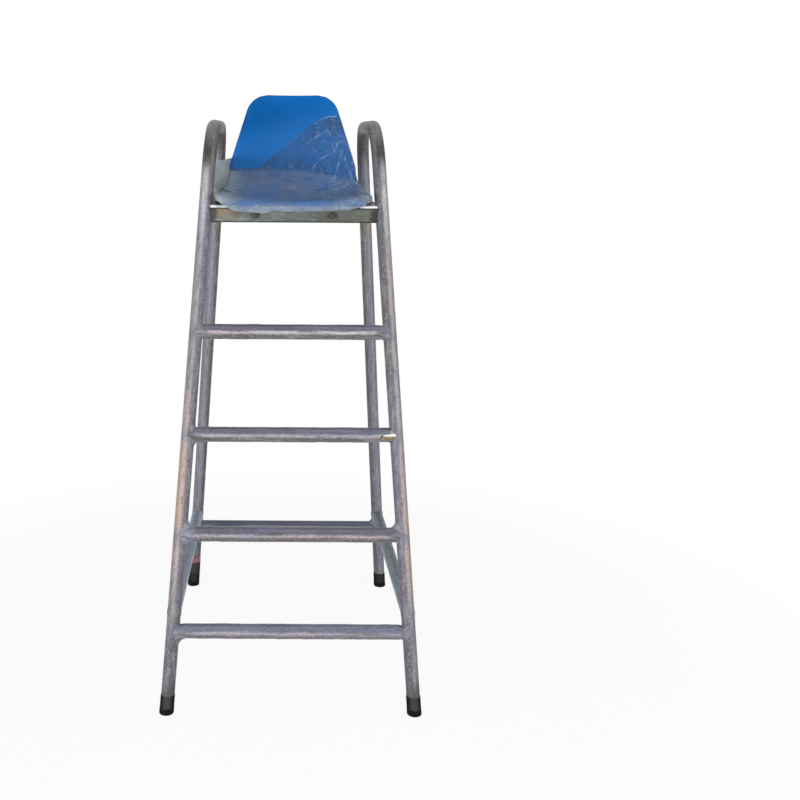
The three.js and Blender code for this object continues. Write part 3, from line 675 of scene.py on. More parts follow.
def joint_film_finish(name, base):
    """Bunched film in the corner of a joint: violet grey, with painted shade where the folds of its
    bump lie low.
    """
    finish = Finish(name, coat_roughness=0.2, coat_ior=1.4, specular_ior_level=0.25)
    fold = finish.noise(70.0, 4.0, (1, 1, 0.7), 1.2)
    grain = finish.noise(330.0, 4.0)
    pale = (finish.z.near(0.480, 0.080) * (1 - finish.x.step(-0.1, 0.1))
            * (1 - finish.y.step(-0.2, 0.0)))
    film = finish.coats(
        tint(base, 0.6, (0.0, 0.0, 0.016)),
        (fold.step(0.34, 0.56), tint(base, 1.15, (0.0, 0.0, 0.022))),
        (pale * 0.7, tint(base, 1.75, (0.0, 0.0, 0.08))),
        (grain.step(0.54, 0.66) * 0.4, tint(base, 0.4)),
        ((1 - grain.step(0.36, 0.46)) * 0.3, tint(base, 2.0)))
    return finish.done(film, 0.32 + fold * 0.2, (fold * 0.8 + grain * 0.2, 0.5, 0.002),
                       coat_weight=fold * 0.3)


def bare_steel(name, base):
    """Polished steel where the film is torn away, with painted light: a bright highlight line, a
    yellow glint below it and painted shade underneath.
    """
    finish = Finish(name, metallic=0.5, specular_ior_level=0.3)
    normal_z = finish.facing()[2]
    brushed = finish.noise(420.0, 3.0, (0.05, 1, 1))
    glow = finish.noise(40.0, 2.0, (1, 0.6, 0.6))
    # A painted yellow glint on the faces turned a little downwards.
    painted_yellow_glint = finish.mix(glow.step(0.4, 0.6), (0.20, 0.135, 0.050), (0.36, 0.26, 0.12))
    steel = finish.coats(
        tint(base, 1.1),
        (brushed, tint(base, 1.8)),
        (normal_z.near(-0.22, 0.50), painted_yellow_glint),
        # A painted highlight line on the faces turned a little upwards, and painted shade on the
        # undersides.
        (normal_z.near(0.26, 0.24), (0.95, 0.94, 0.90)),
        (1 - normal_z.step(-0.80, -0.50), (0.020, 0.018, 0.014)))
    return finish.done(steel, 0.22 + brushed * 0.16, (brushed, 0.15, 0.0004))


def rail_steel(name, base):
    """Flat steel with a greenish cast and heat tints beside the welds, with painted shade in the
    gaps at its ends and along its lower edge.
    """
    finish = Finish(name, metallic=0.2, specular_ior_level=0.3)
    reach = finish.x.maths("ABSOLUTE")
    broad = finish.noise(14.0, 3.0, (0.4, 1, 1))
    grain = finish.noise(150.0, 4.0, (0.25, 1, 1))
    stain = finish.noise(40.0, 4.0, (0.6, 1, 1.6), 0.8)
    heat = reach.near(0.190, 0.045) * stain.step(0.4, 0.58) * (1 - finish.x.step(-0.05, 0.05) * 0.7)
    # Painted shade more than about 0.21 m out from the middle, in the gaps at the rails' ends.
    painted_end_shade = (reach + (stain - 0.5) * 0.03).step(0.208, 0.220)
    # Painted shade along the rails' lower edges.
    below = 1 - (finish.z + (stain - 0.5) * 0.006).step(1.3505, 1.3535)
    steel = finish.coats(
        tint(base, 0.7),
        (broad.step(0.3, 0.7), tint(base, 1.3)),
        (stain.step(0.5, 0.66) * 0.5, tint(base, 0.6, (0.03, 0.01, -0.02))),
        (grain.step(0.4, 0.7) * 0.4, tint(base, 0.5)),
        ((1 - grain.step(0.32, 0.42)) * 0.4, tint(base, 2.0)),
        (heat * 0.65, (0.26, 0.18, 0.10)),
        (painted_end_shade.maths("MAXIMUM", below) * 0.85, (0.018, 0.017, 0.014)))
    bump = grain * 0.4 + broad * 0.4 + stain * 0.3
    return finish.done(steel, 0.45 + grain * 0.25, (bump, 0.35, 0.0012))


def bright_plate(name):
    """Pale plate under film, scuffed along its edges; its near-white colour is a painted reflection
    of bright light on its top face.
    """
    finish = Finish(name, metallic=0.1, specular_ior_level=0.3)
    scuff = finish.noise(90.0, 4.0, (0.4, 1, 1), 0.6)
    grain = finish.noise(400.0, 3.0)
    # Painted reflection: the near-white colour stands for the bright light that its top face
    # reflects.
    plate = finish.coats(
        (0.86, 0.86, 0.84),
        (scuff.step(0.4, 0.66), (0.55, 0.54, 0.55)),
        (grain.step(0.6, 0.72) * 0.4, (0.25, 0.24, 0.23)))
    return finish.done(plate, 0.35 + scuff * 0.3, (scuff * 0.5 + grain * 0.3, 0.3, 0.0008))


def dark_fastener(name):
    """Dark steel, with wear in places and rusty in spots."""
    finish = Finish(name, metallic=0.8)
    wear = finish.noise(500.0, 3.0)
    rust = finish.noise(120.0, 3.0)
    steel = finish.coats(
        (0.03, 0.03, 0.028),
        (wear.step(0.45, 0.7), (0.12, 0.12, 0.11)),
        (rust.step(0.55, 0.7) * 0.5, (0.16, 0.07, 0.03)))
    return finish.done(steel, 0.4 + wear * 0.3, (wear, 0.2, 0.0003))


def cap_rubber(name, base):
    """Black rubber with a soft painted sheen in front, above its foot flange."""
    finish = Finish(name, specular_ior_level=0.06)
    normal_y = finish.facing()[1]
    dust = finish.noise(90.0, 4.0)
    grain = finish.noise(900.0, 2.0)
    # A painted sheen on the front faces above the flange, fainter on the rear caps.
    upper = (finish.z + dust * 0.006).step(0.018, 0.024) * normal_y.near(-1.0, 0.42)
    sheen = finish.mix(finish.y.step(0.0, 0.12), tint(base, 1.0, (0.042, 0.043, 0.039)),
                       tint(base, 1.0, (0.019, 0.021, 0.016)))
    rubber = finish.coats(
        base,
        (upper, sheen),
        (dust.step(0.55, 0.75) * 0.2, tint(base, 1.0, (0.04, 0.04, 0.037))))
    return finish.done(rubber, 0.5 + dust * 0.25, (grain * 0.4 + dust * 0.5, 0.3, 0.0006))


def blue_plastic(name, base):
    """Moulded plastic: a fine satin grain, faint flow marks, a few dusty scuffs and a painted sheen
    over the pan and the lower back.
    """
    finish = Finish(name, specular_ior_level=0.05)
    flow = finish.noise(4.0, 3.0, (1, 1, 0.8), 0.8)
    grain = finish.noise(1400.0, 2.0)
    scuff = finish.noise(26.0, 5.0, (1.0, 1.0, 0.5), 1.5)
    # A painted sheen, lighter and bluer, over the pan and the lower part of the back, reaching
    # higher on the right.
    low = 1 - (finish.z - finish.x * 0.3 + (flow - 0.5) * 0.12).step(1.52, 1.68)
    blue = finish.coats(
        tint(base, 0.85),
        (flow.step(0.35, 0.65), tint(base, 1.10, (0.002, 0.003, 0.0))),
        (low * 0.75, tint(base, 1.18, (0.026, 0.050, 0.085))),
        (scuff.step(0.6, 0.8) * 0.2, tint(base, 1.2, (0.05, 0.05, 0.04))))
    return finish.done(blue, 0.42 + scuff * 0.16 + grain * 0.06,
                       (grain * 0.3 + flow * 0.4, 0.12, 0.0005))


def seat_film_finish(name, haze):
    """Stretched clear film: haze on the pan, little on the back, creases painted bright as
    highlights, scratches, and painted light on the outer side of the left rim.
    """
    finish = Finish(name, specular_ior_level=0.15)
    x, y, z = finish.x, finish.y, finish.z
    cloud = finish.noise(11.0, 4.0, (1, 1, 1), 1.2)
    fine = finish.noise(75.0, 5.0, (0.6, 1, 1), 1.8)
    cross = finish.noise(60.0, 4.0, (0.3, 1, 1.2), 0.6, (0.0, 0.35, 0.3))
    scratches = finish.cracks(38.0, (1.6, 1, 0.5), (0.2, 0.7, 0.5), 0.05)
    crease = finish.node("ShaderNodeAttribute", {"attribute_name": "crease"}, output="Fac")

    pan = 1 - (z - (1.478 - x * 0.06 - x * x * 0.35 + (cloud - 0.5) * 0.012)).step(-0.004, 0.006)
    clear = ((y - x * 0.12).near(-0.172, 0.055) * x.step(-0.12, 0.0) * (1 - x.step(0.16, 0.19))
             * fine.step(0.25, 0.5) * pan)
    left = 1 - (x + (cloud - 0.5) * 0.05).step(-0.195, -0.125)
    right = x.step(0.04, 0.15)
    rim = (x.maths("ABSOLUTE") + (cloud - 0.5) * 0.03).step(0.170, 0.205) * pan
    # Painted light: the film's left-facing faces at the left rim are pale and more opaque, lifting
    # the shade in the gap beside the side film.
    turned = (1 - finish.facing()[0].step(-0.8, -0.4)) * (1 - x.step(-0.17, -0.13))
    lip = 1 - z.step(1.391, 1.400)

    opacity = (
        0.08 + cloud.step(0.4, 0.65) * 0.12 + fine.step(0.5, 0.65) * 0.08 + right * 0.10
        + (1 - pan) * (0.15 + cloud.step(0.40, 0.62) * 0.07)
        + scratches * fine.step(0.46, 0.58) * (0.08 + right * 0.42)
        + pan * (0.37 + (cross - 0.5) * 0.75 + (cloud - 0.5) * 0.5)
        + (rim * 0.25).maths("MAXIMUM", left * pan * 0.5) - clear * 0.36
        + crease * (0.68 - pan * 0.5) + turned * 0.5 + lip * 0.25)
    colour = finish.coats(
        (0.072, 0.126, 0.205),
        (fine.step(0.50, 0.62) * 0.6, (0.17, 0.25, 0.43)),
        (pan, haze),
        ((left + rim).maths("MINIMUM", 1.0) * pan * 0.75, (0.255, 0.310, 0.345)),
        (turned * 0.9, (0.40, 0.44, 0.43)),
        (lip * 0.8, (0.32, 0.37, 0.44)),
        (scratches * fine.step(0.45, 0.6) * 0.8, (0.27, 0.43, 0.72)),
        # The creases are real folds in the sheet, painted bright as highlights.
        (crease * (1 - pan * 0.6), (0.28, 0.49, 0.86)),
        (pan * (1 - cross.step(0.32, 0.44)) * 0.4, (0.05, 0.11, 0.22)))
    # A thin sheet is looked through twice, so each face has the root of the wanted clearness
    face = 1 - (1 - opacity.maths("MAXIMUM", 0.03).maths("MINIMUM", 0.97)) ** 0.5
    return finish.done(colour, 0.35 + fine * 0.3,
                       (fine * 0.5 + cloud * 0.5 + cross * 0.4, 0.4, 0.002), alpha=face)


def loose_film_finish(name):
    """Several layers of film, dull and nearly opaque, greyed by what lies behind."""
    finish = Finish(name, specular_ior_level=0.2)
    cloud = finish.noise(24.0, 4.0, (1, 1, 1.4), 1.0)
    folds = finish.cracks(26.0, (1, 1, 0.35), (0.1, 0.2, 0.1), 0.03)
    colour = finish.coats(
        (0.46, 0.495, 0.470),
        (cloud.step(0.3, 0.7), (0.58, 0.595, 0.560)),
        (folds * 0.2, (0.40, 0.42, 0.44)))
    return finish.done(colour, 0.4 + cloud * 0.25, (cloud * 0.7 + folds * 0.5, 0.4, 0.002),
                       alpha=(0.88 + cloud * 0.12).maths("MINIMUM", 0.98))


def tape_finish(name, colour):
    """Faded red tape with fine ridges."""
    finish = Finish(name, coat_roughness=0.2)
    fade = finish.noise(70.0, 4.0)
    ridge = finish.noise(260.0, 3.0, (1, 1, 0.3))
    red = finish.mix(fade.step(0.35, 0.65), colour, tint(colour, 1.0, (0.06, 0.08, 0.09)))
    return finish.done(red, 0.35 + ridge * 0.3, (ridge, 0.4, 0.0008), coat_weight=fade * 0.4)


# Round tubes

COPE_REACH = 0.030
COPE_OVERLAP = 0.0004
SLEEVE_CUTS = 150
SLEEVE_GAP = 0.0007
DRAW_IN = 0.04
FRINGE = 0.03
FRINGE_REACH = 0.0275


def bent_tube(name, begin, bends, end, diameter, facets):
    """One tube from begin to end. Each bend is the corner it rounds and its radius."""
    corners = [corner for corner, _ in bends] + [end]
    heading = (corners[0] - begin).normalized()
    start()
    bpy.ops.mesh.primitive_circle_add(
        vertices=facets, radius=diameter / 2, fill_type="NGON", location=begin,
        rotation=heading.to_track_quat("Z", "Y").to_euler())
    piece = added(name)
    pick_all(piece)
    here = begin
    for (corner, radius), following in zip(bends, corners[1:]):
        onward = (following - corner).normalized()
        turn = heading.angle(onward)
        reach = radius * math.tan(turn / 2)
        bend_start = corner - heading * reach
        bpy.ops.mesh.extrude_region_move(TRANSFORM_OT_translate={"value": bend_start - here})
        centre = bend_start + (onward - heading * onward.dot(heading)).normalized() * radius
        bpy.ops.mesh.spin(
            steps=20, angle=turn, center=centre, axis=onward.cross(heading).normalized())
        here = corner + onward * reach
        heading = onward
    bpy.ops.mesh.extrude_region_move(TRANSFORM_OT_translate={"value": end - here})
    leave()
    close_up(piece)
    return piece


def straight_tube(name, begin, end, diameter, cuts=0):
    """A straight tube, cut across its length where its skin is to be shaped."""
    run = end - begin
    start()
    bpy.ops.mesh.primitive_cylinder_add(
        vertices=bpy.context.scene.chair_tubes.facets, radius=diameter / 2, depth=run.length,
        end_fill_type="NGON", location=(begin + end) / 2,
        rotation=run.to_track_quat("Z", "Y").to_euler())
    piece = added(name)
    if cuts:
        def lengthwise(edge):
            first, last = (piece.data.vertices[index].co for index in edge.vertices)
            return abs((last - first).normalized().dot(run.normalized())) > 0.99
        pick(piece, "EDGE", lengthwise)
        bpy.ops.mesh.subdivide(number_cuts=cuts)
        leave()
    return piece


def cope(piece, end, way, leg):
    """Shapes one end of a tube to the leg that it meets. The way leads out of the leg, and the
    rings near the end are drawn together to make room."""
    leg_radius = bpy.context.scene.chair_tubes.diameter / 2
    flat = way - leg * way.dot(leg)
    for vertex in piece.data.vertices:
        off = vertex.co - end
        along = off.dot(way)
        if not -0.001 < along < COPE_REACH:
            continue
        off -= way * along
        aside = off - leg * off.dot(leg)
        across, size = aside.dot(flat), flat.length_squared
        depth = max(across ** 2 - size * (aside.length_squared - leg_radius ** 2), 0.0)
        begin = (math.sqrt(depth) - across) / size - COPE_OVERLAP
        drawn = begin + max(along, 0.0) * (COPE_REACH - begin) / COPE_REACH
        vertex.co = end + off + way * drawn


def cope_ends(piece, begin, end, *legs):
    """Copes both ends of a tube. Each leg is its direction, or None for an end that stays cut."""
    way = (end - begin).normalized()
    for place, out, leg in zip((begin, end), (way, -way), legs):
        if leg is not None:
            cope(piece, place, out, leg)


def brace(name, ends, legs):
    """A tube between two legs, coped to both."""
    piece = straight_tube(name, *ends, bpy.context.scene.chair_tubes.diameter)
    cope_ends(piece, *ends, *legs)
    return piece


def joint_ring(name, foot, branch, leg, section, facets):
    """A ring in the corner where a branch tube meets a leg. The section gives, for each place
    round its own loop and each angle round the branch, the radius from the branch's axis and
    the distance out from the leg's surface."""
    tube = bpy.context.scene.chair_tubes.diameter / 2
    across = branch.cross(leg).normalized()
    outward = leg.cross(across).normalized()
    outward = outward if outward.dot(branch) > 0 else -outward
    loop = len(section(0.0))
    start()
    bpy.ops.mesh.primitive_torus_add(
        major_segments=facets, minor_segments=loop, major_radius=tube, minor_radius=tube / 8,
        location=foot)
    piece = added(name)
    for i in range(facets):
        angle = 2 * math.pi * i / facets
        for j, (radius, distance) in enumerate(section(angle)):
            aside = radius * math.sin(angle)
            surface = math.sqrt(max(tube ** 2 - aside ** 2, 0.0))
            piece.data.vertices[i * loop + j].co = (
                foot + leg * radius * math.cos(angle) + across * aside
                + outward * surface + branch * distance)
    close_up(piece)
    return piece


def weld_section(tube, bead):
    """A round bead with the ripples that welding leaves."""
    def section(angle):
        size = bead * (1 + 0.16 * math.sin(angle * 26) + 0.2 * math.sin(angle * 3 + 1))
        return [(tube + size * math.cos(turn), size * math.sin(turn))
                for turn in (2 * math.pi * j / 10 for j in range(10))]
    return section


def web_section(tube, web, above, below, beside, seed):
    """Film pulled across the corner: a hollow curve that may reach further on some sides."""
    def section(angle):
        upright = abs(math.cos(angle))
        reach = above if math.cos(angle) > 0 else below
        wide = web * (0.1 + 0.9 * upright) + reach * upright ** 6 + beside * (1 - upright)
        place = Vector((math.cos(angle) * 1.3, math.sin(angle) * 1.3, seed))
        wide *= 1 + 0.3 * noise.noise(place)
        curve = [(tube + 0.0006 + wide * (1 - math.cos(turn)), wide * (1 - math.sin(turn)))
                 for turn in (math.pi / 2 * j / 7 for j in range(8))]
        # The loop is closed out of sight, inside the branch and the leg
        return curve + [(tube - 0.003, -0.004), (tube - 0.003, wide + 0.004)]
    return section


class CHAIR_OT_side_frames(bpy.types.Operator):
    """Bend one tube for each side: front leg, armrest and rear leg"""

    bl_idname = "chair.side_frames"
    bl_label = "Side frames"

    def execute(self, context):
        tubes = context.scene.chair_tubes
        finish = filmed_legs("leg_steel", tubes.steel)
        for side in SIDES:
            bends = [(front_leg(side, tubes.arm_height), tubes.front_bend),
                     (rear_leg(side, tubes.arm_height), tubes.rear_bend)]
            piece = bent_tube(
                f"side_frame_{side}", front_leg(side, TUBE_END), bends, rear_leg(side, TUBE_END),
                tubes.diameter, tubes.facets)
            dress(piece, finish, "tube",
                  f"front_leg_{side}", f"arm_hoop_{side}", f"rear_leg_{side}")
        return {"FINISHED"}


class CHAIR_OT_steps(bpy.types.Operator):
    """Add the step tubes between the front legs"""

    bl_idname = "chair.steps"
    bl_label = "Steps"

    def execute(self, context):
        finish = bare_steel("step_steel", context.scene.chair_tubes.steel)
        legs = [leg_way(front_leg, side) for side in SIDES]
        for number, height in enumerate(STEP_HEIGHTS, 1):
            ends = [front_leg(side, height) for side in SIDES]
            dress(brace(f"step_tube_{number}", ends, legs), finish, "tube", f"step_{number}")
        return {"FINISHED"}


class CHAIR_OT_step_film(bpy.types.Operator):
    """Wrap each step in film, with one end torn back"""

    bl_idname = "chair.step_film"
    bl_label = "Film round the steps"

    def execute(self, context):
        tubes, packing = context.scene.chair_tubes, context.scene.chair_packing
        finish = filmed_brace("step_film", "x", tubes.steel)
        left_leg, right_leg = (leg_way(front_leg, side) for side in SIDES)
        for number, height in enumerate(STEP_HEIGHTS, 1):
            begin, end = (front_leg(side, height) for side in SIDES)
            if number == TORN_STEP:
                end, right_way = end - Vector((TEAR, 0, 0)), None
            else:
                right_way = right_leg
            piece = straight_tube(
                f"step_film_{number}", begin, end, packing.sleeve, cuts=SLEEVE_CUTS)
            self.wrinkle(piece, begin, end, packing, number)
            cope_ends(piece, begin, end, left_leg, right_way)
            dress(piece, finish, "sleeve", f"step_sleeve_{number}", smooth=60)
        return {"FINISHED"}

    def wrinkle(self, piece, begin, end, packing, number):
        """Shapes the film's turns and crumples, and draws it in at the ends or tears it."""
        radius = packing.sleeve / 2
        tube = bpy.context.scene.chair_tubes.diameter / 2 + SLEEVE_GAP
        for vertex in piece.data.vertices:
            along = vertex.co.x - begin.x
            off = vertex.co - Vector((vertex.co.x, begin.y, begin.z))
            if off.length < radius / 2:
                continue
            angle = math.atan2(off.z, off.y)
            turn = (along / packing.wrap_pitch + angle / (2 * math.pi) + 0.37 * number) % 1
            edge = max(0.0, 1 - turn / 0.12)
            place = Vector((
                vertex.co.x * 22, math.cos(angle) * 1.2, math.sin(angle) * 1.2 + 9 * number))
            crumple = noise.noise(place) * 0.0007 + noise.noise(place * 3.1) * 0.0003
            size = radius - 0.0008 + edge * 0.0006 + crumple
            to_end = end.x - vertex.co.x
            if number == TORN_STEP and to_end < FRINGE:
                tear = 1 - to_end / FRINGE
                rough = noise.noise(Vector((3 * angle, 1, 2)))
                around = angle % (2 * math.pi)
                upper = min(eased(0, 1, (around - 0.2) / 0.3), eased(1, 0, (around - 2.75) / 0.22))
                size -= 0.0016 * tear * (1 - upper) - 0.001 * rough * upper * tear
                vertex.co.x += tear * (0.003 * rough * (1 - upper) + FRINGE_REACH * upper)
                to_end = 1.0
            size = eased(tube, size, min(along, to_end) / DRAW_IN)
            vertex.co = Vector((vertex.co.x, begin.y, begin.z)) + off.normalized() * size


class CHAIR_OT_braces(bpy.types.Operator):
    """Add the rear crossbar and the two side stretchers"""

    bl_idname = "chair.braces"
    bl_label = "Braces"

    def execute(self, context):
        steel = context.scene.chair_tubes.steel
        across = filmed_brace("crossbar_steel", "x", tint(steel, 0.85, (-0.008, 0.004, 0.02)))
        back = filmed_brace("stretcher_steel", "y", tint(steel, 2.8, (-0.085, 0.016, 0.075)))
        ends = [rear_leg(side, REAR_BAR_HEIGHT) for side in SIDES]
        legs = [leg_way(rear_leg, side) for side in SIDES]
        dress(brace("crossbar_tube", ends, legs), across, "tube", "rear_crossbar")
        for side in SIDES:
            ends = [leg(side, STRETCHER_HEIGHT) for leg in (front_leg, rear_leg)]
            legs = [leg_way(leg, side) for leg in (front_leg, rear_leg)]
            dress(brace(f"stretcher_tube_{side}", ends, legs), back, "tube",
                  f"side_stretcher_{side}")
        return {"FINISHED"}


# How far the film reaches above, below and beside a joint, beyond the usual web
JOINT_FILM = {
    "step_1_left": (0.0, 0.017, 0.0),
    "step_2_left": (0.022, 0.006, 0.0),
    "step_2_right": (0.026, 0.0, 0.0),
    "step_3_left": (0.006, 0.014, 0.0),
    "step_4_left": (0.004, 0.0, 0.0),
    "crossbar_right": (0.016, 0.0, 0.0),
    "stretcher_rear_right": (0.013, 0.009, 0.001),
}
BARE_JOINT = f"step_{TORN_STEP}_right"


class CHAIR_OT_joints(bpy.types.Operator):
    """Weld the round tubes together and pull film across the corners of the joints"""

    bl_idname = "chair.joints"
    bl_label = "Welds and joint film"

    def execute(self, context):
        tubes, packing = context.scene.chair_tubes, context.scene.chair_packing
        tube = tubes.diameter / 2
        film = joint_film_finish("joint_film", tint(tubes.steel, 0.85))
        for index, (label, *place) in enumerate(self.joints()):
            if label == BARE_JOINT:
                ring = joint_ring(f"weld_{label}", *place, weld_section(tube, tubes.weld), 96)
                dress(ring, bpy.data.materials["leg_steel"], "tube", smooth=60)
            else:
                reach = JOINT_FILM.get(label, (0.0, 0.0, 0.0))
                section = web_section(tube, packing.joint_web, *reach, index * 1.7)
                ring = joint_ring(f"joint_film_{label}", *place, section, 72)
                dress(ring, film, "sleeve", smooth=60)
        return {"FINISHED"}

    def joints(self):
        """The name of each joint, its place and the directions of its branch and its leg."""
        joints = []
        for side, sign in SIDES.items():
            inward = Vector((-sign, 0, 0))
            front, rear = leg_way(front_leg, side), leg_way(rear_leg, side)
            begin, end = front_leg(side, STRETCHER_HEIGHT), rear_leg(side, STRETCHER_HEIGHT)
            way = (end - begin).normalized()
            joints += [(f"step_{number}_{side}", front_leg(side, height), inward, front)
                       for number, height in enumerate(STEP_HEIGHTS, 1)]
            joints += [(f"crossbar_{side}", rear_leg(side, REAR_BAR_HEIGHT), inward, rear),
                       (f"stretcher_front_{side}", begin, way, front),
                       (f"stretcher_rear_{side}", end, -way, rear)]
        return joints


# Height and radius of a foot cap's rings, from the floor up
CAP_RINGS = (
    (0.0, 0.0190), (0.0012, 0.0204), (0.0035, 0.0208), (0.0145, 0.0208), (0.0160, 0.0206),
    (0.0180, 0.0203), (0.0505, 0.0203), (0.052, 0.0199), (0.0522, 0.0190))


class CHAIR_OT_foot_caps(bpy.types.Operator):
    """Push a rubber cap on each foot"""

    bl_idname = "chair.foot_caps"
    bl_label = "Foot caps"

    def execute(self, context):
        tubes = context.scene.chair_tubes
        finish = cap_rubber("cap_rubber", tubes.rubber)
        for place, leg in (("front", front_leg), ("rear", rear_leg)):
            for side in SIDES:
                start()
                bpy.ops.mesh.primitive_circle_add(
                    vertices=tubes.facets, radius=1.0, fill_type="NGON", location=(0, 0, 0))
                piece = added(f"cap_{place}_{side}")
                self.shape(piece, leg(side, 0), leg_way(leg, side))
                dress(piece, finish, "rubber", f"foot_cap_{place}_{side}")
        return {"FINISHED"}

    def shape(self, piece, foot, way):
        """Raises a disc to one level for each ring, and moves each level to its ring's place."""
        pick_all(piece)
        for _ in CAP_RINGS[1:]:
            bpy.ops.mesh.extrude_region_move(TRANSFORM_OT_translate={"value": (0, 0, 1)})
        leave()
        for vertex in piece.data.vertices:
            height, radius = CAP_RINGS[round(vertex.co.z)]
            around = Vector((vertex.co.x, vertex.co.y, 0))
            vertex.co = foot + way * (height / way.z) + around * radius
        close_up(piece)


class CHAIR_OT_seat_frame(bpy.types.Operator):
    """Break the edges of the seat rails, corner plates and straps"""

    bl_idname = "chair.seat_frame"
    bl_label = "Seat frame"

    def execute(self, context):
        tubes = context.scene.chair_tubes
        rail = rail_steel("rail_steel", tubes.rail)
        plate = rail_steel("plate_steel", tint(tubes.rail, 1.25))
        bright = bright_plate("corner_steel")
        for place in ("front", "rear"):
            soften(f"{place}_seat_rail", "tube", 0.0006, rail, "rail")
        for side in SIDES:
            soften(f"side_seat_rail_{side}", "tube", 0.0006, rail, "rail")
        for side in SIDES:
            soften(f"seat_strap_{side}", "flat", 0.0008, plate, "plate")
            soften(f"corner_plate_{side}", "flat", 0.0008, bright, "plate")
        return {"FINISHED"}


class CHAIR_OT_fasteners(bpy.types.Operator):
    """Chamfer the bolts, washers and nuts"""

    bl_idname = "chair.fasteners"
    bl_label = "Fasteners"

    def execute(self, context):
        finish = dark_fastener("fastener_steel")
        for kind in ("rail_bolt", "rail_washer", "rail_nut", "seat_bolt", "seat_washer"):
            for place in ("front", "rear"):
                for side in SIDES:
                    soften(f"{kind}_{place}_{side}", "made", 0.0005, finish, "fastener")
        return {"FINISHED"}


# Seat shell

BOSS_DROP = 0.004
BOSS_CLEARANCE = 0.0003
ROW_CROWDING = 0.12


def roll_rim(piece, sheet, places, keep=lambda index: True):
    """Extrudes a sheet's border round its rim. The sheet gives each vertex's point, normal and
    centre; each place is a distance outwards and down from the border, and the way down may
    depend on the point."""
    faces = Counter(key for face in piece.data.polygons for key in face.edge_keys)
    border = [key for key, times in faces.items() if times == 1]
    beside = {}
    for first, last in border:
        beside.setdefault(first, []).append(last)
        beside.setdefault(last, []).append(first)
    border = [(first, last) for first, last in border if keep(first) and keep(last)]
    outward = {}
    for index, (before, after) in beside.items():
        point, normal, centre = sheet[index]
        away = (sheet[after][0] - sheet[before][0]).cross(normal).normalized()
        outward[index] = away if away.dot(point - centre) > 0 else -away
    ring = {index: index for pair in border for index in pair}
    for out, down in places:
        before = len(piece.data.vertices)
        pairs = {tuple(sorted((ring[first], ring[last]))) for first, last in border}
        pick(piece, "EDGE", lambda edge: tuple(sorted(edge.vertices)) in pairs)
        bpy.ops.mesh.extrude_edges_move()
        leave()
        fresh = {}
        for edge in piece.data.edges:
            low, high = sorted(edge.vertices)
            if low < before <= high:
                fresh[low] = high
        ring = {index: fresh[old] for index, old in ring.items()}
        for index, new in ring.items():
            point, normal, _ = sheet[index]
            drop = down(point) if callable(down) else down
            piece.data.vertices[new].co = point + outward[index] * out - normal * drop


class CHAIR_OT_seat_shell(bpy.types.Operator):
    """Mould the seat shell, with its rolled rim and its bosses"""

    bl_idname = "chair.seat_shell"
    bl_label = "Seat shell"

    def execute(self, context):
        seat = context.scene.chair_seat
        piece = grid("seat_shell_moulding", 48, 96)
        sheet = {}
        for vertex in piece.data.vertices:
            s = self.station((vertex.co.y + 1) / 2)
            x = vertex.co.x * half_width(s)
            sheet[vertex.index] = (shell_point(x, s), shell_normal(x, s), rim_centre(s))
            vertex.co = sheet[vertex.index][0]
        roll_rim(piece, sheet, rim_places(seat.rim, seat.skirt))
        close_up(piece)
        if sum(face.normal.z * face.area for face in piece.data.polygons) < 0:
            pick_all(piece)
            bpy.ops.mesh.flip_normals()
            leave()
        modify(piece, "SOLIDIFY", thickness=seat.thickness, offset=-1, use_even_offset=True)
        bosses = [self.add_boss(f"seat_bolt_{place}_{side}", seat)
                  for place in ("front", "rear") for side in SIDES]
        take(piece)
        for boss in bosses:
            boss.select_set(True)
        bpy.ops.object.join()
        dress(piece, blue_plastic("shell_plastic", seat.blue), "shell", "seat_shell", smooth=50)
        return {"FINISHED"}

    def station(self, share):
        """Rows lie closer together round the rounded corners."""
        return SHELL_RUN * (share - ROW_CROWDING * math.sin(2 * math.pi * share) / math.pi)

    def add_boss(self, bolt, seat):
        """A boss from a strap up into the shell, round one bolt."""
        low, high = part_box(bolt)
        middle = (low + high) / 2
        top = CREST - BOSS_DROP
        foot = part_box("seat_strap_left")[1].z + BOSS_CLEARANCE
        start()
        bpy.ops.mesh.primitive_cylinder_add(
            vertices=32, radius=seat.boss / 2, depth=top - foot,
            location=(middle.x, middle.y, (top + foot) / 2))
        boss = added(f"boss_{bolt}")
        pick(boss, "FACE", lambda face: face.normal.z < -0.9)
        bpy.ops.mesh.inset(thickness=0.003)
        leave()
        modify(boss, "BEVEL", width=0.0008, segments=2, limit_method="ANGLE")
        return boss


# Film on the seat

FILM_LEFT, FILM_RIGHT = Vector((-0.107, 1.484)), Vector((0.150, 1.638))
FILM_SHOULDER = Vector((0.064, 1.632))
FILM_REACH = 0.178
FILM_HANG = 0.004
WING_START, WING_END, WING_FOOT = 0.0693, 0.4214, 1.386
WING_CLEARANCE, LEG_CLEARANCE = 0.0010, 0.0006
CREASE_HEIGHT = 0.0012

# Creases on the back, real folds painted bright as highlights, each a line of (x, height) points
FILM_CREASES = (
    ((0.150, 1.545), (0.140, 1.500), (0.126, 1.450)),
    ((0.058, 1.468), (0.068, 1.494), (0.084, 1.512), (0.108, 1.527), (0.130, 1.536)),
    ((0.156, 1.522), (0.163, 1.500), (0.172, 1.478), (0.184, 1.450)),
    ((0.104, 1.600), (0.080, 1.585), (0.046, 1.560)),
)


def off_line(x, z, line):
    """Distance from a point to a line of straight pieces."""
    nearest = 1.0
    here = Vector((x, z))
    for first, last in zip(line, line[1:]):
        begin, run = Vector(first), Vector(last) - Vector(first)
        share = min(max((here - begin).dot(run) / run.length_squared, 0.0), 1.0)
        nearest = min(nearest, (here - begin - run * share).length)
    return nearest


